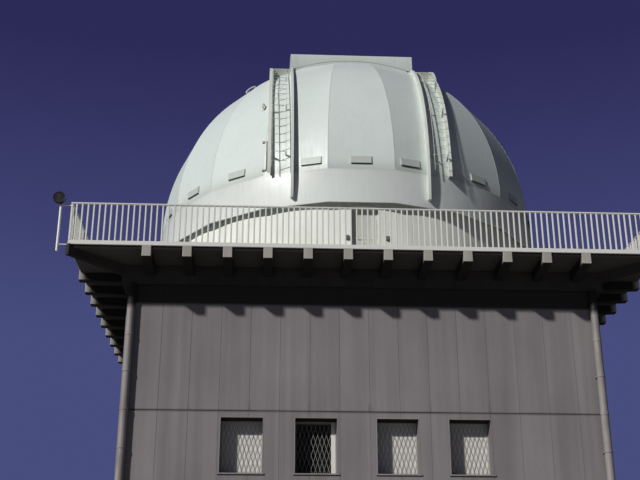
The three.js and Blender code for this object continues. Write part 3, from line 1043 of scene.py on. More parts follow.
# Enamel brushed on square bar: a warm near-white that stands out from the concrete.
RAILING_COAT = Enamel(
    "brushed_enamel_railing", "railing_enamel", base="#f3f4ef", dirt="#dfe1d9", patch=0.3, wear=0.3)
# Enamel sprayed on a steel door: off-white with a soft gloss.
DOOR_COAT = Enamel("sprayed_enamel_drum_door", "drum_door_enamel", base="#e3e8e1", patch=0.5)
# Enamel sprayed on a steel door: a plain mid grey.
ENTRANCE_COAT = Enamel(
    "sprayed_enamel_entrance_door", "entrance_enamel", base="#8a8d8b", dirt="#6f726f", patch=0.5)
# Enamel brushed on boards: a warm, rather matt white behind the grilles.
BOARD_COAT = Enamel(
    "brushed_enamel_window_boards", "drum_door_enamel", base="#f6f5f3", dirt="#e8e6e2", patch=0.5,
    roughness=0.55)
# Enamel brushed on flat bar: a dusty light grey.
GRILLE_COAT = Enamel(
    "brushed_enamel_window_grille", "rail_enamel", base="#b3b2ae", dirt="#93918c", patch=0.2, wear=0.3)
# Paint faded on a sheet pipe: mauve grey and streaked, with painted shade darkening its head under the
# gallery.
PIPE_COAT = Enamel(
    "faded_paint_downpipe", "downpipe_enamel", base="#9a9694", dirt="#7c7877", patch=0.5,
    dirt_share=0.6, roughness=0.6, shade_height=(10.3, 10.15))
# Enamelled sheet boxes: a cool mid grey.
BOX_COAT = Enamel(
    "grey_enamel_switch_boxes", "lamp_housing", base="#6f7276", dirt="#55585c", patch=0.1)
# Black enamel on a casting: a soft gloss, greyer where it is worn.
LAMP_COAT = Enamel(
    "black_enamel_cast_lamp", "lamp_housing", base="#1f2126", dirt="#33343a", worn="#4a4b50", patch=0.1)
# Float glass in thin panes: mostly seen through, with a weak green-grey tint.
PANE = FloatGlass("float_glass_pane", "window_glass")


@dataclass
class TowerWall:
    """One side of the tower: precast panels with two rows of four windows."""

    side: Side
    half: float = 6.08
    thickness: float = 0.48
    storey: float = 3.8
    seam_pitch: float = 0.75
    seam_start: float = 0.1
    seam_last: float = 5.5
    seam_half: float = 5 * MM
    seam_depth: float = 6 * MM
    joint_half: float = 14 * MM
    joint_depth: float = 14 * MM
    centres: tuple[float, ...] = (-3.07, -1.24, 0.78, 2.58)
    shaded: tuple[bool, ...] = (True, False, True, True)
    width: float = 1.03
    height: float = 1.34
    head: float = 0.17
    board_depth: float = 0.43
    grille_depth: float = 0.405
    frame_depth: float = 0.07
    open_strip: float = 0.13
    strip_depth: float = 0.40
    entrance_half: float = 0.6
    entrance: Flat = (0.2, 2.25)

    @property
    def face(self) -> float:
        """The Y of the wall's outer face."""
        return -self.half

    def windows(self) -> Iterable[tuple[int, Flat, Flat]]:
        """Every window of the side.

        Returns:
            The window's number in its row, and its X and Z ranges.
        """
        for joint in (self.storey, 2 * self.storey):
            top = joint - self.head
            for number, middle in enumerate(self.centres):
                yield number, (middle - self.width / 2, middle + self.width / 2), (top - self.height, top)

    def seams(self) -> list[float]:
        """The places of the joints between panels."""
        reach = range(-8, 9)
        places = [self.seam_start + k * self.seam_pitch for k in reach]
        return [x for x in places if abs(x) < self.seam_last]

    def depth(self, x: float, z: float) -> float | None:
        """How far behind the face the wall lies, or None in an opening.

        Args:
            x: Place along the wall.
            z: Height.

        Returns:
            The depth.
        """
        if any(a < x < b and c < z < d for _, (a, b), (c, d) in self.windows()):
            return None
        low, high = self.entrance
        if self.side is Side.FRONT and abs(x) < self.entrance_half and low < z < high:
            return None
        if any(abs(z - joint) < self.joint_half for joint in (self.storey, 2 * self.storey)):
            return self.joint_depth
        if any(abs(x - seam) < self.seam_half for seam in self.seams()):
            return self.seam_depth
        return 0.0

    def place(self, x: float, depth: float, z: float) -> Point:
        """A point of the wall, mitred at the tower's corners.

        Args:
            x: Place along the wall.
            depth: Depth behind the face.
            z: Height.

        Returns:
            The point.
        """
        if abs(x) > self.half - MM:
            x = math.copysign(self.half - depth, x)
        return x, self.face + depth, z

    def build_panels(self) -> None:
        """Makes the wall with its open joints and its openings."""
        across = {-self.half, self.half}
        up = {0.0, GROUND_TO_SLAB - GAP}
        for seam in self.seams():
            across |= {seam - self.seam_half, seam + self.seam_half}
        for joint in (self.storey, 2 * self.storey):
            up |= {joint - self.joint_half, joint + self.joint_half}
        for _, x, z in self.windows():
            across |= set(x)
            up |= set(z)
        if self.side is Side.FRONT:
            across |= {-self.entrance_half, self.entrance_half}
            up |= set(self.entrance)
        shape = Shape(self.side.turn)
        Relief(sorted(across), sorted(up), self.depth, self.place, self.thickness).build(shape)
        shape.finish(f"{self.side.label}_panels", PRECAST, replaces=[f"{self.side.label}_wall"])

    def build_trim(self) -> None:
        """Makes the bands and sills around the windows."""
        band, proud, sill_proud, sill_drop, reach = 0.022, 0.006, 0.035, 0.045, 0.05
        shape = Shape(self.side.turn)
        for _, x, z in self.windows():
            shape.picture_frame(x, z, band, (self.face - proud, self.face + 0.02), 4 * MM)
            low = (x[0] - reach, self.face - sill_proud, z[0] - sill_drop)
            high = (x[1] + reach, self.face + 0.01, z[0] - 5 * MM)
            shape.box(low, high, 6 * MM)
        shape.finish(f"{self.side.label}_window_trim", TRIM)

    def build_frames(self) -> None:
        """Makes the steel frames behind the openings and the panes in them."""
        lap, front = 0.06, self.face + self.thickness + MM
        back = front + self.frame_depth
        frames, panes = Shape(self.side.turn), Shape(self.side.turn)
        rim, rebate, putty, glass = 0.035, 10 * MM, 15 * MM, 6 * MM
        for _, x, z in self.windows():
            inner_x, inner_z = (x[0] + rim, x[1] - rim), (z[0] + rim, z[1] - rim)
            frames.picture_frame(inner_x, inner_z, rim + lap, (front, back))
            panes.box(
                (inner_x[0] - rebate, front + putty, inner_z[0] - rebate),
                (inner_x[1] + rebate, front + putty + glass, inner_z[1] + rebate), MM)
        frames.finish(f"{self.side.label}_window_frames", GRILLE_COAT)
        nodes = [f"{self.side.label}_glass_{storey}" for storey in (1, 2)]
        panes.finish(f"{self.side.label}_window_panes", PANE, replaces=nodes)

    def build_grilles(self) -> None:
        """Makes the steel grilles: two layers of steep flat bars that cross in tall diamonds."""
        diamond_w, diamond_h, bar, flat, rim = 0.109, 0.338, 10 * MM, 5 * MM, 0.025
        lean = diamond_w / diamond_h
        layer = self.face + self.grille_depth
        shape = Shape(self.side.turn)
        for _, x, z in self.windows():
            shape.picture_frame(x, z, -rim, (layer - 6 * MM, layer + 18 * MM), 2 * MM)
            wide, tall = x[1] - x[0] - rim, z[1] - z[0] - rim
            left, foot = x[0] + rim / 2, z[0] + rim / 2
            for way, y in ((1, layer), (-1, layer + flat)):
                run = lean * tall
                count = math.ceil((wide + run) / diamond_w)
                for k in range(count):
                    start = k * diamond_w - (run if way > 0 else 0)
                    limits = sorted((-start / (way * lean), (wide - start) / (way * lean)))
                    low, high = max(0, limits[0]), min(tall, limits[1])
                    if high - low < bar:
                        continue
                    ends = [(left + start + way * lean * h, foot + h) for h in (low, high)]
                    (xa, za), (xb, zb) = ends
                    outline = [(xa, y, za), (xa + bar, y, za), (xb + bar, y, zb), (xb, y, zb)]
                    shape.prism(outline, (0, flat, 0))
        shape.finish(f"{self.side.label}_window_grilles", GRILLE_COAT)

    def build_boards(self) -> None:
        """Makes the white boards behind most grilles, and the strip in the other windows."""
        board, groove, thick = 0.118, 3 * MM, 14 * MM
        batten_at, batten_half = 0.2, 0.045
        front = self.face + self.board_depth
        shape = Shape(self.side.turn)
        for number, x, z in self.windows():
            if not self.shaded[number]:
                at = self.face + self.strip_depth
                low = (x[1] - self.open_strip, at, z[0] + MM)
                shape.box(low, (x[1] - MM, at + thick, z[1] - MM), 3 * MM)
                continue
            x0, x1 = x[0] + MM, x[1] - MM
            count = max(1, round((x1 - x0) / board))
            pitch = (x1 - x0) / count
            for k in range(count):
                low = (x0 + k * pitch + groove / 2, front, z[0] + MM)
                high = (x0 + (k + 1) * pitch - groove / 2, front + thick, z[1] - MM)
                shape.box(low, high, 3 * MM)
            for height in (z[0] + batten_at, z[1] - batten_at):
                low = (x0, front + thick, height - batten_half)
                shape.box(low, (x1, front + 2 * thick, height + batten_half))
        shape.finish(f"{self.side.label}_window_boards", BOARD_COAT)

    def build(self) -> None:
        """Makes the whole side."""
        self.build_panels()
        self.build_trim()
        self.build_frames()
        self.build_grilles()
        self.build_boards()


@dataclass
class Doorway:
    """A steel door in its frame, in a wall that faces -Y."""

    name: str
    node: str
    x: Flat
    z: Flat
    front: float
    coat: Finish
    thickness: float = 0.05
    jamb: float = 0.045
    panel_inset: float = 0.13
    panel_rows: tuple[Flat, ...] = ((0.08, 0.46), (0.54, 0.93))
    hinges: tuple[float, ...] = (0.12, 0.5, 0.88)
    grip: Flat = (0.06, 0.98)

    def build_leaf(self) -> None:
        """Makes the leaf with its raised panels, hinges and lever handle."""
        shape = Shape()
        clear = 4 * MM
        x0, x1 = self.x[0] + self.jamb + clear, self.x[1] - self.jamb - clear
        z0, z1 = self.z[0] + clear, self.z[1] - self.jamb - clear
        back = self.front + self.thickness
        shape.box((x0, self.front + 6 * MM, z0), (x1, back, z1), 3 * MM)
        for low, high in self.panel_rows:
            a, b = z0 + (z1 - z0) * low, z0 + (z1 - z0) * high
            inner = (x0 + self.panel_inset, x1 - self.panel_inset)
            shape.picture_frame(inner, (a, b), 0.022, (self.front, self.front + 8 * MM))
        pin, knuckle = x1 + clear / 2, ((0, 5 * MM), (2 * MM, 8 * MM), (0.098, 8 * MM), (0.1, 5 * MM))
        for share in self.hinges:
            foot = z0 + (z1 - z0) * share - knuckle[-1][0] / 2
            shape.turned(((pin, self.front, foot), (pin, self.front, foot + 1)), knuckle, 12)
        grip_x, grip_z = x0 + self.grip[0], z0 + self.grip[1]
        low = (grip_x - 0.02, self.front, grip_z - 0.11)
        shape.box(low, (grip_x + 0.02, self.front + 7 * MM, grip_z + 0.07))
        lever = [
            (grip_x + right, self.front + deep, grip_z)
            for right, deep in ((0, 5 * MM), (0, -0.045), (0.012, -0.055), (0.12, -0.055))]
        shape.tube(lever, 8 * MM, 10)
        shape.finish(f"{self.name}_leaf", self.coat, replaces=[self.node])

    def build_frame(self) -> None:
        """Makes the frame's two jambs and head, and the threshold."""
        shape = Shape()
        back = self.front + self.thickness + 0.02
        front = self.front - 0.012
        x0, x1, z0, z1 = *self.x, *self.z
        for a, b in ((x0 + MM, x0 + self.jamb), (x1 - self.jamb, x1 - MM)):
            shape.box((a, front, z0 + MM), (b, back, z1 - MM))
        shape.box((x0 + self.jamb, front, z1 - self.jamb), (x1 - self.jamb, back, z1 - MM))
        shape.box((x0 + self.jamb, front - 0.03, z0 + MM), (x1 - self.jamb, back, z0 + 4 * MM), MM)
        shape.finish(f"{self.name}_frame", self.coat)

    def build(self) -> None:
        """Makes the door and its frame."""
        self.build_leaf()
        self.build_frame()


@dataclass
class Gallery:
    """The cantilevered gallery: brackets, ring beam and railing."""

    half: float = 7.44
    panel: float = 0.05
    wall: float = 6.0803
    tower_half: float = 6.08
    under: float = GROUND_TO_SLAB
    kerb_foot: float = GROUND_TO_SLAB + 0.08
    kerb_height: float = 0.11
    rail_top: float = GROUND_TO_SLAB + 1.21
    pitch: float = 0.143
    rail_depth: float = 0.05
    baluster: float = 20 * MM
    end_post: float = 24 * MM
    end_inset: float = 26 * MM
    post: float = 20 * MM
    post_every: int = 10
    bracket_pitch: float = 1.0
    brackets: int = 12
    bracket_half: float = 0.1175
    bracket_tip: float = 0.2
    bracket_root: float = 0.28
    corner_half: float = 0.065
    beam_height: float = 0.5
    beam_thick: float = 0.15

    def add_bracket(self, shape: Shape, middle: float, half: float, stretch: float = 1.0) -> None:
        """Adds one bracket with chamfered arrises.

        Args:
            shape: The shape that takes it.
            middle: Its place along the wall.
            half: Half of its width.
            stretch: How much longer a corner bracket is.
        """
        root, tip = -self.wall * stretch, -self.half * stretch
        edge = -(self.half - self.panel + GAP) * stretch
        top, nib = self.under - GAP, self.kerb_foot - GAP
        arris = 12 * MM
        rings = []
        for x, inset in (
            (middle - half, arris), (middle - half + arris, 0), (middle + half - arris, 0),
            (middle + half, arris)
        ):
            outline = [
                (root, self.under - self.bracket_root + inset), (root, top), (edge, top), (edge, nib),
                (tip + inset, nib), (tip + inset, self.under - self.bracket_tip + inset)]
            rings.append([(x, y, z) for y, z in outline])
        shape.loft(rings)

    def build_brackets(self, side: Side) -> None:
        """Makes one side's brackets, its beam and, at front and back, the corner brackets.

        Args:
            side: The side of the tower.
        """
        full = side in (Side.FRONT, Side.BACK)
        shape, beam = Shape(side.turn), Shape(side.turn)
        reach = self.wall + self.beam_thick if full else self.tower_half - GAP
        top = self.under - GAP
        beam.box(
            (-reach, -self.wall - self.beam_thick, self.under - self.beam_height),
            (reach, -self.wall, top), 10 * MM)
        for k in range(self.brackets):
            middle = (k - (self.brackets - 1) / 2) * self.bracket_pitch
            self.add_bracket(shape, middle, self.bracket_half)
        if full:
            for way in (-1, 1):
                corner = Shape(side.turn @ Matrix.Rotation(way * math.pi / 4, 4, "Z"), beam.mesh)
                self.add_bracket(corner, 0, self.corner_half, math.sqrt(2))
        beam.finish(f"{side.label}_ring_beam", BEAM)
        shape.finish(f"{side.label}_gallery_brackets", CAST, replaces=[f"{side.label}_brackets"])

    def build_railing(self, side: Side) -> None:
        """Makes one side's railing: kerb plate, square balusters, posts and top rail.

        Args:
            side: The side of the tower.
        """
        full = side in (Side.FRONT, Side.BACK)
        half = self.half if full else self.half - self.panel - GAP
        front, back = -self.half, -self.half + self.panel
        middle = (front + back) / 2
        kerb_top = self.kerb_foot + self.kerb_height
        shape = Shape(side.turn)
        shape.box((-half, front, self.kerb_foot), (half, back, kerb_top), 6 * MM)
        rail_foot = self.rail_top - self.rail_depth
        outline = chamfered((front, back), (rail_foot, self.rail_top), 0, 14 * MM)
        shape.loft([[(x, y, z) for y, z in outline] for x in (-half, half)])
        bays = round(2 * half / self.pitch)
        places = [2 * half * k / bays - half for k in range(bays + 1)]
        foot, head = kerb_top - MM, rail_foot + MM
        for x in places:
            is_end = x in (places[0], places[-1])
            if is_end:
                x -= math.copysign(self.end_inset, x)
            if is_end and full:
                reach = self.end_post
                shape.box((x - reach, front + MM, foot), (x + reach, back - MM, head), 4 * MM)
                continue
            reach = self.baluster
            shape.box((x - reach, middle - reach, foot), (x + reach, middle + reach, head), 5 * MM)
        for x in places[self.post_every:-1:self.post_every]:
            low = (x - self.post, front + 4 * MM, foot)
            shape.box(low, (x + self.post, back - 4 * MM, head), 3 * MM)
        shape.finish(
            f"{side.label}_gallery_railing", RAILING_COAT, replaces=[f"{side.label}_railing"])

    def build(self) -> None:
        """Makes all four sides."""
        for side in Side:
            self.build_brackets(side)
            self.build_railing(side)


@dataclass
class Drum:
    """The round wall that carries the dome, with its door and two small boxes."""

    radius: float = 5.69
    thickness: float = 0.25
    foot: float = GROUND_TO_SLAB + 0.1603
    top: float = 14.25
    seams: int = 17
    seam_start: float = 0.25
    seam_half: float = 0.05
    seam_depth: float = 5 * MM
    facet: float = 2.5
    door: Flat = (-0.28, 0.47)
    door_top: float = GROUND_TO_SLAB + 2.01
    box_places: tuple[float, ...] = (-0.39, 0.70)
    box_size: Point = (0.09, 0.05, 0.12)
    box_level: float = 12.43

    def azimuth(self, x: float) -> float:
        """The azimuth of an X on the front of the drum's face."""
        return math.degrees(math.asin(x / self.radius))

    def depth(self, azimuth: float, z: float) -> float | None:
        """How far behind the face the wall lies, or None in the doorway.

        Args:
            azimuth: Degrees from the front.
            z: Height.

        Returns:
            The depth.
        """
        if self.azimuth(self.door[0]) < azimuth < self.azimuth(self.door[1]) and z < self.door_top:
            return None
        pitch = 360 / self.seams
        off = (azimuth - self.seam_start + pitch / 2) % pitch - pitch / 2
        return self.seam_depth if abs(off) < self.seam_half else 0.0

    def place(self, azimuth: float, depth: float, z: float) -> Point:
        """A point of the wall; the jambs stand square to the front.

        Args:
            azimuth: Degrees from the front.
            depth: Depth behind the face.
            z: Height.

        Returns:
            The point.
        """
        reach = self.radius - depth
        for x in self.door:
            if abs(azimuth - self.azimuth(x)) < 1e-6:
                return x, -math.sqrt(reach ** 2 - x ** 2), z
        turn = math.radians(azimuth)
        return reach * math.sin(turn), -reach * math.cos(turn), z

    def build_wall(self) -> None:
        """Makes the wall with its faint upright joints."""
        across = {-180.0}
        doors = [self.azimuth(x) for x in self.door]
        seams = []
        for k in range(self.seams):
            at = (self.seam_start + k * 360 / self.seams + 180) % 360 - 180
            seams += [at - self.seam_half, at + self.seam_half]
        across |= set(doors) | set(seams)
        count = round(360 / self.facet)
        for k in range(count):
            at = -180 + k * self.facet
            if all(abs(at - other) > self.facet / 3 for other in doors + seams):
                across.add(at)
        up = [self.foot, self.door_top, self.top]
        shape = Shape()
        across = sorted(across) + [180.0]
        Relief(across, up, self.depth, self.place, self.thickness, ring=True).build(shape)
        nodes = [f"drum_wall_{side.label}" for side in Side]
        shape.finish("drum_wall", DRUM_COAT, replaces=nodes)

    def build_boxes(self) -> None:
        """Makes the two small boxes beside the door."""
        shape = Shape()
        wide, deep, tall = self.box_size
        for x in self.box_places:
            face = -math.sqrt(self.radius ** 2 - x ** 2)
            low = (x - wide / 2, face - deep, self.box_level - tall / 2)
            shape.box(low, (x + wide / 2, face + 0.01, self.box_level + tall / 2), 4 * MM)
            lid = (x - wide / 2 + 0.01, face - deep - 4 * MM, self.box_level - tall / 2 + 0.01)
            shape.box(lid, (x + wide / 2 - 0.01, face - deep, self.box_level + tall / 2 - 0.01), MM)
        shape.finish("drum_switch_boxes", BOX_COAT)

    def build(self) -> None:
        """Makes the wall, the boxes and the door."""
        self.build_wall()
        self.build_boxes()
        Doorway(
            "gallery_door_steel", "gallery_door", self.door, (self.foot, self.door_top),
            -self.radius + 0.15, DOOR_COAT).build()


@dataclass
class DomeShell:
    """The turning dome: a skirt and twenty flat gores of sheet on ribs, parted by the slit."""

    radius: float = DOME_R
    sheet: float = 8 * MM
    rib_depth: float = 60 * MM
    rib_half: float = 0.35
    rise: float = 2.0
    slit_half: float = 1.85
    strip_gap: float = 0.5 * MM
    front_end: float = 72.0
    back_end: float = 150.0
    strip_half: float = 15 * MM
    strip_proud: float = 2.5 * MM
    hood_width: float = 0.56
    hood_height: float = 0.22
    hood_proud: float = 0.038
    hood_level: float = 2.7
    skirt_foot: float = 13.4
    ring_girder: Flat = (5.34, 0.1497)
    bar_half: float = 1.755
    bar_y: Flat = (-2.9865, -2.93)
    bar_top: float = 5.977
    bar_ends: float = 5.683
    side_hoods: tuple[float, ...] = (36, 54, 72, 90, 108, 126, 144)
    strip_hoods: tuple[float, ...] = (-13.5, 0, 13.5)
    lugs: tuple[tuple[str, float, float, float, float], ...] = (
        ("lifting_lug", -30.3, 25.2, 0.072, 0.144), ("lifting_lug_upper", -49.0, 45.0, 0.26, 0.09))

    def corners(self) -> list[float]:
        """The azimuths of the gores' edges."""
        gore = 360 / GORE_COUNT
        return [gore / 2 + k * gore for k in range(GORE_COUNT)]

    def flat_radius(self, azimuth: float, radius: float) -> float:
        """The radius of a flat gore at an azimuth.

        Args:
            azimuth: Degrees from the front.
            radius: The radius at the gore's edges.

        Returns:
            The radius there.
        """
        gore = 360 / GORE_COUNT
        off = azimuth - round(azimuth / gore) * gore
        return radius * math.cos(math.radians(gore / 2)) / math.cos(math.radians(off))

    def levels(self, low: float = 0.0) -> list[float]:
        """The elevations of the sheet's sections."""
        count = round((89 - low) / self.rise)
        return [low + (89 - low) * k / count for k in range(count + 1)]

    def skin(self) -> Shape:
        """The whole shell: sheet, inner ribs and cover strips on the gores' edges.

        Returns:
            The shape, still without its slit.
        """
        shape = Shape()
        levels = self.levels()
        inner = self.radius - self.sheet
        rings = []
        for azimuth in self.corners():
            outside = [on_ball(azimuth, level, self.radius) for level in levels]
            inside = [on_ball(azimuth, level, inner) for level in reversed(levels)]
            rings.append(outside + inside)
        shape.loft(rings, closed=True)
        strip = math.degrees(self.strip_half / self.radius)
        for azimuth in self.corners():
            ribs, covers = [], []
            for level in self.levels(1.0):
                deep = self.radius - self.rib_depth
                ribs.append([
                    on_ball(azimuth + way * self.rib_half, level, reach)
                    for way, reach in ((-1, deep), (1, deep), (1, inner - MM), (-1, inner - MM))])
                slim = strip / max(math.cos(math.radians(level)), 0.15)
                edge = self.flat_radius(azimuth - slim, self.radius)
                covers.append([
                    on_ball(azimuth - slim, level, edge - MM),
                    on_ball(azimuth + slim, level, edge - MM),
                    on_ball(azimuth + slim, level, edge + self.strip_proud),
                    on_ball(azimuth, level, self.radius + self.strip_proud),
                    on_ball(azimuth - slim, level, edge + self.strip_proud)])
            shape.loft(ribs)
            shape.loft(covers)
        return shape

    def add_hood(self, shape: Shape, mesh: Shape, azimuth: float) -> None:
        """Adds a sheet cowl over a vent: nearly flush at its head, proud and open at its foot.

        Args:
            shape: The shape that takes the cowl.
            mesh: The shape that takes the mesh behind it.
            azimuth: Its place, in degrees.
        """
        gore = 360 / GORE_COUNT
        turn = round(azimuth / gore) * gore
        face = self.radius * math.cos(math.radians(gore / 2))
        across = face * math.tan(math.radians(azimuth - turn))
        level = SPRING_Z + self.radius * math.sin(math.radians(self.hood_level))
        spin = Matrix.Rotation(math.radians(turn), 4, "Z")
        cowl, back = Shape(spin, shape.mesh), Shape(spin, mesh.mesh)
        x0, x1 = across - self.hood_width / 2, across + self.hood_width / 2
        low, high = level - self.hood_height / 2, level + self.hood_height / 2
        plate, seam, lip = 4 * MM, -face - 6 * MM, low + 0.03
        inside, shallow, deep = -face + 0.02, -face - 0.012, -face - self.hood_proud
        sheet = [
            (x0, inside, high), (x0, shallow, high), (x0, deep, lip), (x0, deep, low),
            (x0, deep + plate, low), (x0, deep + plate, lip), (x0, shallow + plate, high - plate),
            (x0, inside, high - plate)]
        cowl.prism(sheet, (x1 - x0, 0, 0))
        for x in (x0, x1 - plate):
            cheek = [
                (x, inside, high - plate), (x, shallow + plate, high - plate),
                (x, deep + plate, lip), (x, deep + plate, low), (x, inside, low)]
            cowl.prism(cheek, (plate, 0, 0))
        for x in (x0 - 0.02, x1):
            cowl.box((x, seam, low), (x + 0.02, inside, high), MM)
        # The mesh reaches 30 mm below the cowl's foot, a painted shade for the dark line under the hood.
        back.box((x0 + plate, seam, low - 0.03), (x1 - plate, -face - MM, high - 0.02), MM)

    def build_sides(self) -> None:
        """Makes the two big parts of the shell, on either side of the slit."""
        for hand in Hand:
            shape, mesh = self.skin(), Shape()
            shape.trim((-hand.value, 0, 0), -self.slit_half - self.strip_gap)
            for azimuth in self.side_hoods:
                self.add_hood(shape, mesh, hand.value * azimuth)
            shape.finish(
                f"dome_sheets_{hand.label}", DOME_COAT, Body.DOME, [f"dome_shell_{hand.label}"], 4.0)
            mesh.finish(f"vent_mesh_{hand.label}", VENT_COAT, Body.DOME)

    def build_strips(self) -> None:
        """Makes the parts of the shell in front of the slit and behind it."""
        ends = (
            ("front", 0, math.radians(self.front_end), 1),
            ("back", 180, math.radians(self.back_end), -1),
        )
        for name, turn, angle, way in ends:
            shape, mesh = self.skin(), Shape()
            for side in (-1, 1):
                shape.trim((side, 0, 0), self.slit_half - self.strip_gap)
            shape.trim((0, way * math.sin(angle), way * math.cos(angle)))
            for azimuth in self.strip_hoods:
                self.add_hood(shape, mesh, azimuth + turn)
            shape.finish(f"dome_sheets_{name}", DOME_COAT, Body.DOME, [f"dome_shell_{name}"], 4.0)
            mesh.finish(f"vent_mesh_{name}", VENT_COAT, Body.DOME)

    def build_skirt(self) -> None:
        """Makes the skirt with its rolled lip, and the base ring inside it."""
        base, top = self.skirt_foot, SPRING_Z - GAP
        girder, ring = self.ring_girder[0], SPRING_Z - self.ring_girder[1]
        out, inner = self.radius, self.radius - self.sheet
        skirt = [
            (out, top), (out, base + 0.016), (out - 3 * MM, base + 6 * MM), (out - 9 * MM, base),
            (out - 0.034, base), (out - 0.042, base + 6 * MM), (out - 0.042, base + 0.022),
            (out - 0.036, base + 0.022), (out - 0.034, base + 8 * MM), (inner, base + 0.01),
            (inner, ring), (girder, ring), (girder, top)]
        cover = out + 1.5 * MM
        band = [(inner, top - 0.03), (cover, top - 0.03), (cover, top - 2 * MM), (inner, top - 2 * MM)]
        shape = Shape()
        for profile in (skirt, band):
            rings = []
            for azimuth in self.corners():
                turn = math.radians(azimuth)
                rings.append([(r * math.sin(turn), -r * math.cos(turn), z) for r, z in profile])
            shape.loft(rings, closed=True)
        shape.finish("dome_skirt_sheets", SKIRT_COAT, Body.DOME, ["dome_skirt"], 25.0)

    def bar_section(self, x: float, head: float) -> list[Point]:
        """A section of the weather bar, from under the skin to its head.

        Args:
            x: Its place across the slit.
            head: How far its head is from the dome's centre.

        Returns:
            Its corners in order.
        """
        front, back = self.bar_y
        corners = []
        for y, reach in ((front, FLAT_R - 0.02), (back, FLAT_R - 0.02), (back, head), (front, head)):
            corners.append((x, y, SPRING_Z + math.sqrt(reach ** 2 - x ** 2 - y ** 2)))
        return corners

    def build_weather_bar(self) -> None:
        """Makes the upstand under the shutter's front plate, which keeps the rain out."""
        shape = Shape()
        count = 24
        places = [self.bar_half * (2 * k / count - 1) for k in range(count + 1)]
        shape.loft([self.bar_section(x, self.bar_top) for x in places])
        for side in (-1, 1):
            ends = (side * (self.bar_half + 7 * MM), side * (self.slit_half - 3 * MM))
            shape.loft([self.bar_section(x, math.hypot(self.bar_ends, x)) for x in ends])
        shape.finish("slit_weather_bar", DOME_COAT, Body.DOME)

    def build_lug(self, name: str, azimuth: float, level: float, half: float, rise: float) -> None:
        """Makes one lifting lug: a foot plate with a bent bar on it.

        Args:
            name: The piece's name.
            azimuth: Degrees from the front, towards the right.
            level: Degrees above the spring line.
            half: Half the bar's length, up the dome.
            rise: How far the bar stands out.
        """
        reach = self.flat_radius(azimuth, self.radius)
        foot = Vector(on_ball(azimuth, level, reach))
        out = (foot - Vector((0, 0, SPRING_Z))).normalized()
        beside = Vector((0, 0, 1)).cross(out).normalized()
        along = out.cross(beside)
        long, wide, sunk, thick, bar, count = half + 38 * MM, 90 * MM, 5 * MM, 17 * MM, 20 * MM, 20
        shape = Shape()
        plate = []
        for a, b in chamfered((-long, long), (-wide, wide), 0, 20 * MM):
            plate.append(tuple(foot + along * a + beside * b - out * sunk))
        shape.prism(plate, tuple(out * thick))
        ring = []
        for k in range(count):
            angle = 2 * math.pi * k / count
            up = 10 * MM + rise * (1 + math.cos(angle)) / 2
            ring.append(tuple(foot + out * up + along * half * math.sin(angle)))
        shape.tube(ring, bar, 10, closed=True)
        shape.finish(name, RAIL_COAT, Body.DOME)

    def build(self) -> None:
        """Makes the whole dome."""
        self.build_skirt()
        self.build_sides()
        self.build_strips()
        self.build_weather_bar()
        for lug in self.lugs:
            self.build_lug(*lug)


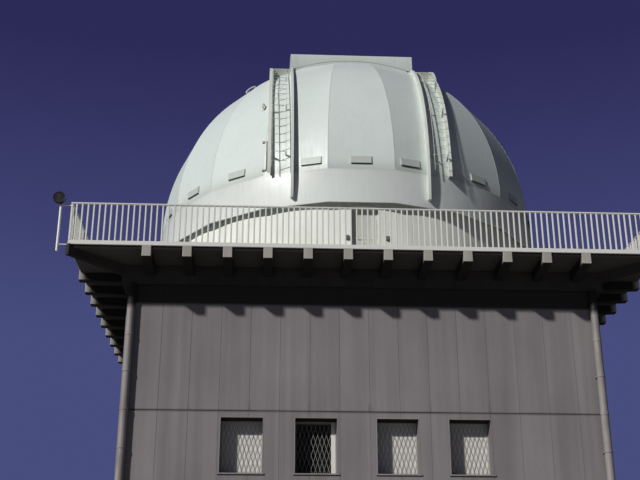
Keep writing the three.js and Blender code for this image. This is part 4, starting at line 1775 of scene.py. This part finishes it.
@dataclass
class ShutterTrack:
    """One side of the slit: the rail that the shutter runs on and the ladder beside it."""

    hand: Hand
    rail: Flat = (1.85, 1.93)
    rail_radius: Flat = (5.51, 5.75)
    rail_ends: Flat = (-8.0, 188.0)
    outer_x: float = 2.52
    guard_flange: Flat = (2.48, 2.58)
    guard_web: Flat = (2.48, 2.50)
    guard_low: float = 5.50
    guard_rise: Flat = (44.0, 58.0)
    outer_radius: Flat = (5.25, 5.70)
    head_plate: float = 0.4
    ends: Flat = (0.0, 80.0)
    cross_plate: Flat = (61.35, 61.6)
    ladder: Flat = (2.05, 2.48)
    stile: float = 0.04
    stile_radius: Flat = (5.66, 5.69)
    rung_step: float = 3.0
    feet: tuple[float, ...] = (6, 24, 42, 60, 78)
    grab_x: float = 2.625
    grab_radius: float = 5.33
    grab_skin: float = 5.16
    grab_ends: Flat = (1.8, 12.0)
    grab_foot: Flat = (2.50, 2.73)

    def build_rail(self) -> None:
        """Makes the rail, a bar with chamfered edges."""
        shape = Shape()
        shape.arc_bar(self.hand.span(*self.rail), self.rail_radius, self.rail_ends, 5 * MM)
        shape.finish(
            f"slit_rail_{self.hand.label}", RAIL_COAT, Body.DOME, [f"shutter_rail_{self.hand.label}"])

    def guard_top(self, level: float) -> float:
        """The radius of the guard's top, which rises towards the bay's head.

        Args:
            level: Degrees from the front horizon.

        Returns:
            The radius.
        """
        start, end = self.guard_rise
        share = min(1.0, max(0.0, (level - start) / (end - start)))
        return self.guard_low + (self.outer_radius[1] - self.guard_low) * share * share * (3 - 2 * share)

    def build_outer_rail(self) -> None:
        """Makes the guard, a web under a flange, with the bay's head plate and cross plate."""
        shape = Shape()
        low, high = self.outer_radius
        first, last = self.ends
        count = round((last - first) / 2)
        web, flange = [], []
        for k in range(count + 1):
            level = first + (last - first) * k / count
            top = self.guard_top(level)
            upright = chamfered(self.hand.span(*self.guard_web), (low, top - 8 * MM), 0, MM)
            level_bar = chamfered(self.hand.span(*self.guard_flange), (top - 12 * MM, top), 0, 4 * MM)
            web.append([on_arc(a, r, level) for a, r in upright])
            flange.append([on_arc(a, r, level) for a, r in level_bar])
        shape.loft(web)
        shape.loft(flange)
        head = self.hand.span(self.rail[1] + MM, self.outer_x + 0.03)
        foot = math.sqrt(FLAT_R ** 2 - self.outer_x ** 2)
        shape.arc_bar(head, (foot, high), (last - self.head_plate, last), 2 * MM)
        self.add_cross_plate(shape, foot)
        if self.hand is Hand.LEFT:
            self.add_grab_bar(shape)
        shape.finish(
            f"ladder_bay_{self.hand.label}", RAIL_COAT, Body.DOME, [f"outer_rail_{self.hand.label}"])

    def add_cross_plate(self, shape: Shape, foot: float) -> None:
        """Adds the plate that closes the bay where it meets the sky, notched for the stiles.

        Args:
            shape: The bay's mesh.
            foot: The radius of the skin under the guard.
        """
        near, far = self.ladder
        inner, outer = self.rail[1] + MM, self.guard_web[0] + MM
        under = self.stile_radius[0] - 3 * MM
        shape.arc_bar(self.hand.span(inner, outer), (foot, under), self.cross_plate, MM)
        for x in ((inner, near), (near + self.stile, far - self.stile), (far, outer)):
            shape.arc_bar(
                self.hand.span(*x), (under - 10 * MM, self.outer_radius[1]), self.cross_plate, MM)

    def add_grab_bar(self, shape: Shape) -> None:
        """Adds the upright grab bar beside the foot of the left guard, on two flat feet.

        Args:
            shape: The shape that takes it.
        """
        x, count = self.hand.value * self.grab_x, 6
        low, high = self.grab_ends
        path = [on_arc(x, self.grab_radius, low + k * (high - low) / count) for k in range(count + 1)]
        shape.tube(path, 24 * MM, 10)
        for level in self.grab_ends:
            foot = self.hand.span(*self.grab_foot)
            shape.arc_bar(foot, (self.grab_skin, self.grab_radius), (level - 0.22, level + 0.22), 3 * MM)

    def build_ladder(self) -> None:
        """Makes the ladder: two stiles on feet and round rungs about 300 mm apart."""
        shape = Shape()
        near, far = self.ladder
        low, high = self.stile_radius
        for x in (near, far - self.stile):
            shape.arc_bar(
                self.hand.span(x + 0.014, x + self.stile - 0.014), (low, high),
                (self.ends[0] + 1, self.ends[1] - 1), 3 * MM)
            skin = math.sqrt(FLAT_R ** 2 - x ** 2)
            for level in self.feet:
                foot = self.hand.span(x, x + self.stile)
                shape.arc_bar(foot, (skin, low + 0.01), (level - 0.2, level + 0.2))
        middle = (low + high) / 2
        level = self.rung_step
        while level < self.ends[1] - 1:
            start, end = self.hand.span(near + 0.005, far - 0.005)
            shape.tube([on_arc(start, middle, level), on_arc(end, middle, level)], 8 * MM, 10)
            level += self.rung_step
        shape.finish(
            f"dome_ladder_{self.hand.label}", RAIL_COAT, Body.DOME, [f"ladder_{self.hand.label}"])

    def build(self) -> None:
        """Makes the rail, the bay and the ladder."""
        self.build_rail()
        self.build_outer_rail()
        self.build_ladder()


@dataclass
class Shutter:
    """The up-and-over shutter: a curved skin on frames, its side walls, cheeks and end plates."""

    half: float = 1.93
    outer: float = 6.165
    proud: float = 8 * MM
    skin: float = 8 * MM
    under: float = 6.03
    on_rail: float = 5.754
    ends: Flat = (62.0, 154.0)
    frame_step: float = 11.5
    cheek: Flat = (1.77, 1.84)
    cheek_low: float = 5.69
    clear: float = 5.985
    lip: float = 5 * MM
    front: float = 2.9865
    front_thick: float = 0.16

    def stations(self) -> list[float]:
        """The X of every section of an end plate, with a step beside each rail."""
        count = 24
        edge = self.cheek[1]
        inside = [edge * (2 * k / count - 1) for k in range(count + 1)]
        return [-self.half, -edge - MM, *inside, edge + MM, self.half]

    def foot(self, x: float) -> float:
        """The lowest radius of an end plate about the X axis, over the dome or over a rail."""
        if abs(x) > self.cheek[1]:
            return self.on_rail
        return math.sqrt(self.clear ** 2 - x ** 2)

    def add_front(self, shape: Shape) -> None:
        """Adds the upright plate that closes the front end, with its rolled head.

        Args:
            shape: The shape that takes it.
        """
        top, edge = self.outer - self.lip, 8 * MM
        ahead, behind = -self.front, self.front_thick - self.front
        rings = []
        for x in self.stations():
            low = self.foot(x)
            corners = [
                (ahead, math.sqrt(low ** 2 - ahead ** 2)), (behind, math.sqrt(low ** 2 - behind ** 2)),
                (behind, math.sqrt(top ** 2 - behind ** 2)),
                (ahead + edge, math.sqrt(top ** 2 - (ahead + edge) ** 2)),
                (ahead, math.sqrt(top ** 2 - ahead ** 2) - edge)]
            rings.append([(x, y, SPRING_Z + z) for y, z in corners])
        shape.loft(rings)

    def add_back(self, shape: Shape) -> None:
        """Adds the box that closes the back end, cut away over the round of the dome.

        Args:
            shape: The shape that takes it.
        """
        top, edge = self.outer - self.lip, 6 * MM
        level = self.ends[1]
        rings = []
        for x in self.stations()[2:-2]:
            low = self.foot(x)
            corners = (
                (level - 1, low), (level + 1, low), (level + 1, top - edge), (level + 0.94, top),
                (level - 0.94, top), (level - 1, top - edge))
            rings.append([on_arc(x, reach, angle) for angle, reach in corners])
        shape.loft(rings)

    def add_sides(self, shape: Shape) -> None:
        """Adds the hollow side walls on their soles, and the cheeks that run inside the rails.

        Args:
            shape: The shape that takes them.
        """
        top, sheet = self.outer - self.proud - self.skin, 8 * MM
        sole = (self.on_rail, self.on_rail + 0.012)
        for hand in Hand:
            inner, edge = self.cheek
            shape.arc_bar(hand.span(self.half - sheet, self.half), (sole[1], top), self.ends, MM)
            shape.arc_bar(hand.span(inner, inner + sheet), (sole[1], self.under + 0.02), self.ends, MM)
            shape.arc_bar(hand.span(inner, self.half), sole, self.ends, 2 * MM)
            shape.arc_bar(hand.span(inner, edge), (self.cheek_low, sole[0]), self.ends, 5 * MM)

    def build(self) -> None:
        """Makes the whole shutter."""
        shape = Shape()
        top = self.outer - self.proud
        first, last = self.ends
        shape.arc_bar((-self.half, self.half), (top - self.skin, top), self.ends, 3 * MM)
        self.add_sides(shape)
        count = round((last - first) / self.frame_step)
        for k in range(count + 1):
            level = first + (last - first) * k / count
            if 0 < k < count:
                shape.arc_bar(
                    (-self.half + 0.01, self.half - 0.01), (self.under + 0.01, top - self.skin),
                    (level - 0.06, level + 0.06), MM)
            strip = (max(first, level - 0.25), min(last, level + 0.25))
            shape.arc_bar((-self.half, self.half), (top - MM, self.outer - 3 * MM), strip, MM)
        self.add_front(shape)
        self.add_back(shape)
        shape.finish("shutter_skin", DOME_COAT, Body.SHUTTER, ["shutter"], 20.0)


@dataclass
class Downpipe:
    """A round rainwater pipe near a corner of the tower, on wall clamps."""

    name: str
    turn: float
    hand: int
    x: float = 5.95
    off: float = 6.19
    radius: float = 0.1
    foot: float = 0.15
    top: float = GROUND_TO_SLAB - 0.5003
    clamp_start: float = 0.95
    clamp_pitch: float = 1.9
    wall: float = 6.0803

    def build(self) -> None:
        """Makes the pipe with its sockets and clamps."""
        spin = Matrix.Rotation(math.radians(self.turn), 4, "Z")
        shape = Shape(spin)
        x, y = self.hand * self.x, -self.off
        shell, socket, tall = 6 * MM, self.radius + 9 * MM, self.top - self.foot
        profile = [(0, self.radius - shell), (0, self.radius)]
        for k in range(1, 6):
            at = k * self.clamp_pitch - self.foot
            profile += [
                (at - 0.045, self.radius), (at - 0.04, socket),
                (at + 0.035, socket), (at + 0.05, self.radius)]
        profile += [(tall, self.radius), (tall, self.radius - shell)]
        shape.turned(((x, y, self.foot), (x, y, self.top)), profile, 28)
        z, reach = self.clamp_start, self.radius + 12 * MM
        while z < self.top - 0.2:
            shape.turned(
                ((x, y, z - 0.025), (x, y, z + 0.025)),
                ((0, self.radius), (0, reach), (0.05, reach), (0.05, self.radius)), 28)
            for side in (-1, 1):
                ear = sorted((x + side * (reach - 4 * MM), x + side * (reach + MM)))
                shape.box((ear[0], y, z - 0.025), (ear[1], -self.wall, z + 0.025), MM)
            z += self.clamp_pitch
        shape.finish(f"downpipe_sheet_{self.name}", PIPE_COAT, replaces=[f"downpipe_{self.name}"])


@dataclass
class Floodlight:
    """The lamp on its pole at the gallery's left front corner."""

    x: float = -7.72
    y: float = -7.30
    foot: float = 11.27
    top: float = 12.52
    pole: float = 0.032
    rail: float = -7.4403
    arms: tuple[float, ...] = (11.435, 12.49)
    lamp_x: float = -7.76
    lamp_y: float = -7.44
    lamp_z: float = 12.67
    lamp_radius: float = 0.15
    lamp_deep: float = 0.24

    def build_pole(self) -> None:
        """Makes the pole with its cap and the two arms that hold it to the railing."""
        shape = Shape()
        tall, bar, around = self.top - self.foot, 25 * MM, self.pole + 5 * MM
        profile = (
            (0, self.pole - 3 * MM), (3 * MM, self.pole),
            (tall - 5 * MM, self.pole), (tall, self.pole - 4 * MM))
        collar = ((0, self.pole), (0, around), (bar + 10 * MM, around), (bar + 10 * MM, self.pole))
        shape.turned(((self.x, self.y, self.foot), (self.x, self.y, self.top)), profile, 20)
        for z in self.arms:
            low = (self.x, self.y - bar / 2, z)
            shape.box(low, (self.rail, self.y + bar / 2, z + bar))
            shape.turned(((self.x, self.y, z - 5 * MM), (self.x, self.y, z + 1)), collar, 20)
        shape.finish("lamp_pole", RAILING_COAT, replaces=["floodlight_pole"])

    def build_lamp(self) -> None:
        """Makes the round housing with its rim and yoke, and the socket on the pole."""
        shape = Shape()
        reach, deep = self.lamp_radius, self.lamp_deep
        profile = [
            (0.012, reach - 0.02), (0, reach - 0.012), (0, reach), (0.03, reach),
            (0.036, reach - 0.012), (0.10, reach - 0.016), (0.17, reach - 0.05),
            (deep - 0.02, 0.06), (deep - 0.01, 0.05)]
        axis = ((self.lamp_x, self.lamp_y, self.lamp_z), (self.lamp_x, self.lamp_y + 1, self.lamp_z))
        shape.turned(axis, profile, 32)
        yoke = []
        for k in range(13):
            angle = math.radians(180 + 15 * k)
            yoke.append((
                self.lamp_x + (reach + 0.012) * math.cos(angle), self.lamp_y + 0.09,
                self.lamp_z + (reach - 0.01) * math.sin(angle)))
        shape.tube(yoke, 8 * MM, 8)
        shape.turned(
            ((self.x, self.y - 0.03, self.top - 2 * MM), (self.x, self.y - 0.03, self.top + 1)),
            ((0, 0.03), (0.012, 0.03), (0.02, 0.018), (0.04, 0.018)), 16)
        shape.finish("lamp_housing_round", LAMP_COAT, replaces=["floodlight"])

    def build(self) -> None:
        """Makes the pole and the lamp."""
        self.build_pole()
        self.build_lamp()


@dataclass
class Studio:
    """The pale floor, the soft light and the camera at the photographed viewing angle."""

    eye: Point = (-2.389, -31.878, 1.704)
    pitch: float = 22.081
    yaw: float = 2.755
    lens: float = 59.479
    sun: Point = (-0.609, -0.620, 0.496)
    sun_strength: float = 3.3
    sun_angle: float = 2.5
    fill: Sequence[tuple[float, str]] = ((0.0, "#62667c"), (1.0, "#2f3146"))
    backdrop: Sequence[tuple[float, str]] = ((0.28, "#5c6391"), (0.53, "#403d6c"))
    gamma: float = 0.8
    floor_half: float = 60.0

    def build_floor(self) -> None:
        """Lays the floor just under the tower."""
        mesh = bpy.data.meshes.new("studio_floor")
        half, drop = self.floor_half, -2 * MM
        mesh.from_pydata(
            [(-half, -half, drop), (half, -half, drop), (half, half, drop), (-half, half, drop)],
            [], [(0, 1, 2, 3)])
        material = bpy.data.materials.new("studio_floor_matt")
        material.use_nodes = True
        shader = material.node_tree.nodes["Principled BSDF"]
        shader.inputs["Base Color"].default_value = linear("#bfbebc")
        shader.inputs["Roughness"].default_value = 0.9
        mesh.materials.append(material)
        floor = bpy.data.objects.new("studio_floor", mesh)
        bpy.context.scene.collection.objects.link(floor)

    def build_light(self) -> None:
        """Hangs the sun and lights the backdrop."""
        light = bpy.data.lights.new("studio_key", "SUN")
        light.energy = self.sun_strength
        light.angle = math.radians(self.sun_angle)
        light.color = (1.0, 0.97, 0.93)
        lamp = bpy.data.objects.new("studio_key", light)
        lamp.rotation_euler = Vector(self.sun).to_track_quat("Z", "Y").to_euler()
        bpy.context.scene.collection.objects.link(lamp)
        world = bpy.data.worlds.new("studio_backdrop")
        world.use_nodes = True
        tree = world.node_tree
        place = add_node(tree, "TexCoord")
        way = add_node(tree, "SeparateXYZ", {0: place.outputs["Generated"]})
        across = add_node(tree, "MapRange", {0: way.outputs[0], 1: -1.0, 2: 1.0, 3: 0.0, 4: 1.0})
        fill = add_node(tree, "ValToRGB", {0: across.outputs[0]}, ramp=self.fill)
        sheet = add_node(tree, "ValToRGB", {0: way.outputs[2]}, ramp=self.backdrop)
        ray = add_node(tree, "LightPath")
        seen = add_node(
            tree, "Mix",
            {0: ray.outputs["Is Camera Ray"], 6: fill.outputs[0], 7: sheet.outputs[0]},
            data_type="RGBA")
        tree.links.new(seen.outputs[2], tree.nodes["Background"].inputs["Color"])
        bpy.context.scene.world = world
        view = bpy.context.scene.view_settings
        view.view_transform = "Standard"
        view.gamma = self.gamma

    def build_camera(self) -> None:
        """Stands the camera where the photograph was taken from."""
        camera = bpy.data.cameras.new("studio_camera")
        camera.lens = self.lens
        camera.sensor_width = 36.0
        camera.clip_end = 300.0
        stand = bpy.data.objects.new("studio_camera", camera)
        stand.location = self.eye
        stand.rotation_euler = (math.radians(90 + self.pitch), 0, math.radians(-self.yaw))
        bpy.context.scene.collection.objects.link(stand)
        bpy.context.scene.camera = stand

    def build(self) -> None:
        """Sets the studio up."""
        self.build_floor()
        self.build_light()
        self.build_camera()


def build_building() -> None:
    """Builds every sub-assembly in order, from the ground up."""
    for side in Side:
        TowerWall(side).build()
    refinish(SLAB, "ground_floor", "upper_floor", "gallery_deck")
    Doorway(
        "entrance", "entrance_door", (-0.6, 0.6), (0.2, 2.25), -5.84, ENTRANCE_COAT, jamb=0.06).build()
    Gallery().build()
    Drum().build()
    DomeShell().build()
    for hand in Hand:
        ShutterTrack(hand).build()
    Shutter().build()
    for name, turn, hand in (
        ("front_left", 0, -1), ("front_right", 0, 1), ("back_left", 180, 1), ("back_right", 180, -1)
    ):
        Downpipe(name, turn, hand).build()
    Floodlight().build()


def main() -> None:
    """Builds the studio and the observatory."""
    logging.basicConfig(level=logging.INFO, format="%(name)s: %(message)s")
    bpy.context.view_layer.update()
    Studio().build()
    build_building()


if __name__ == "__main__":
    main()
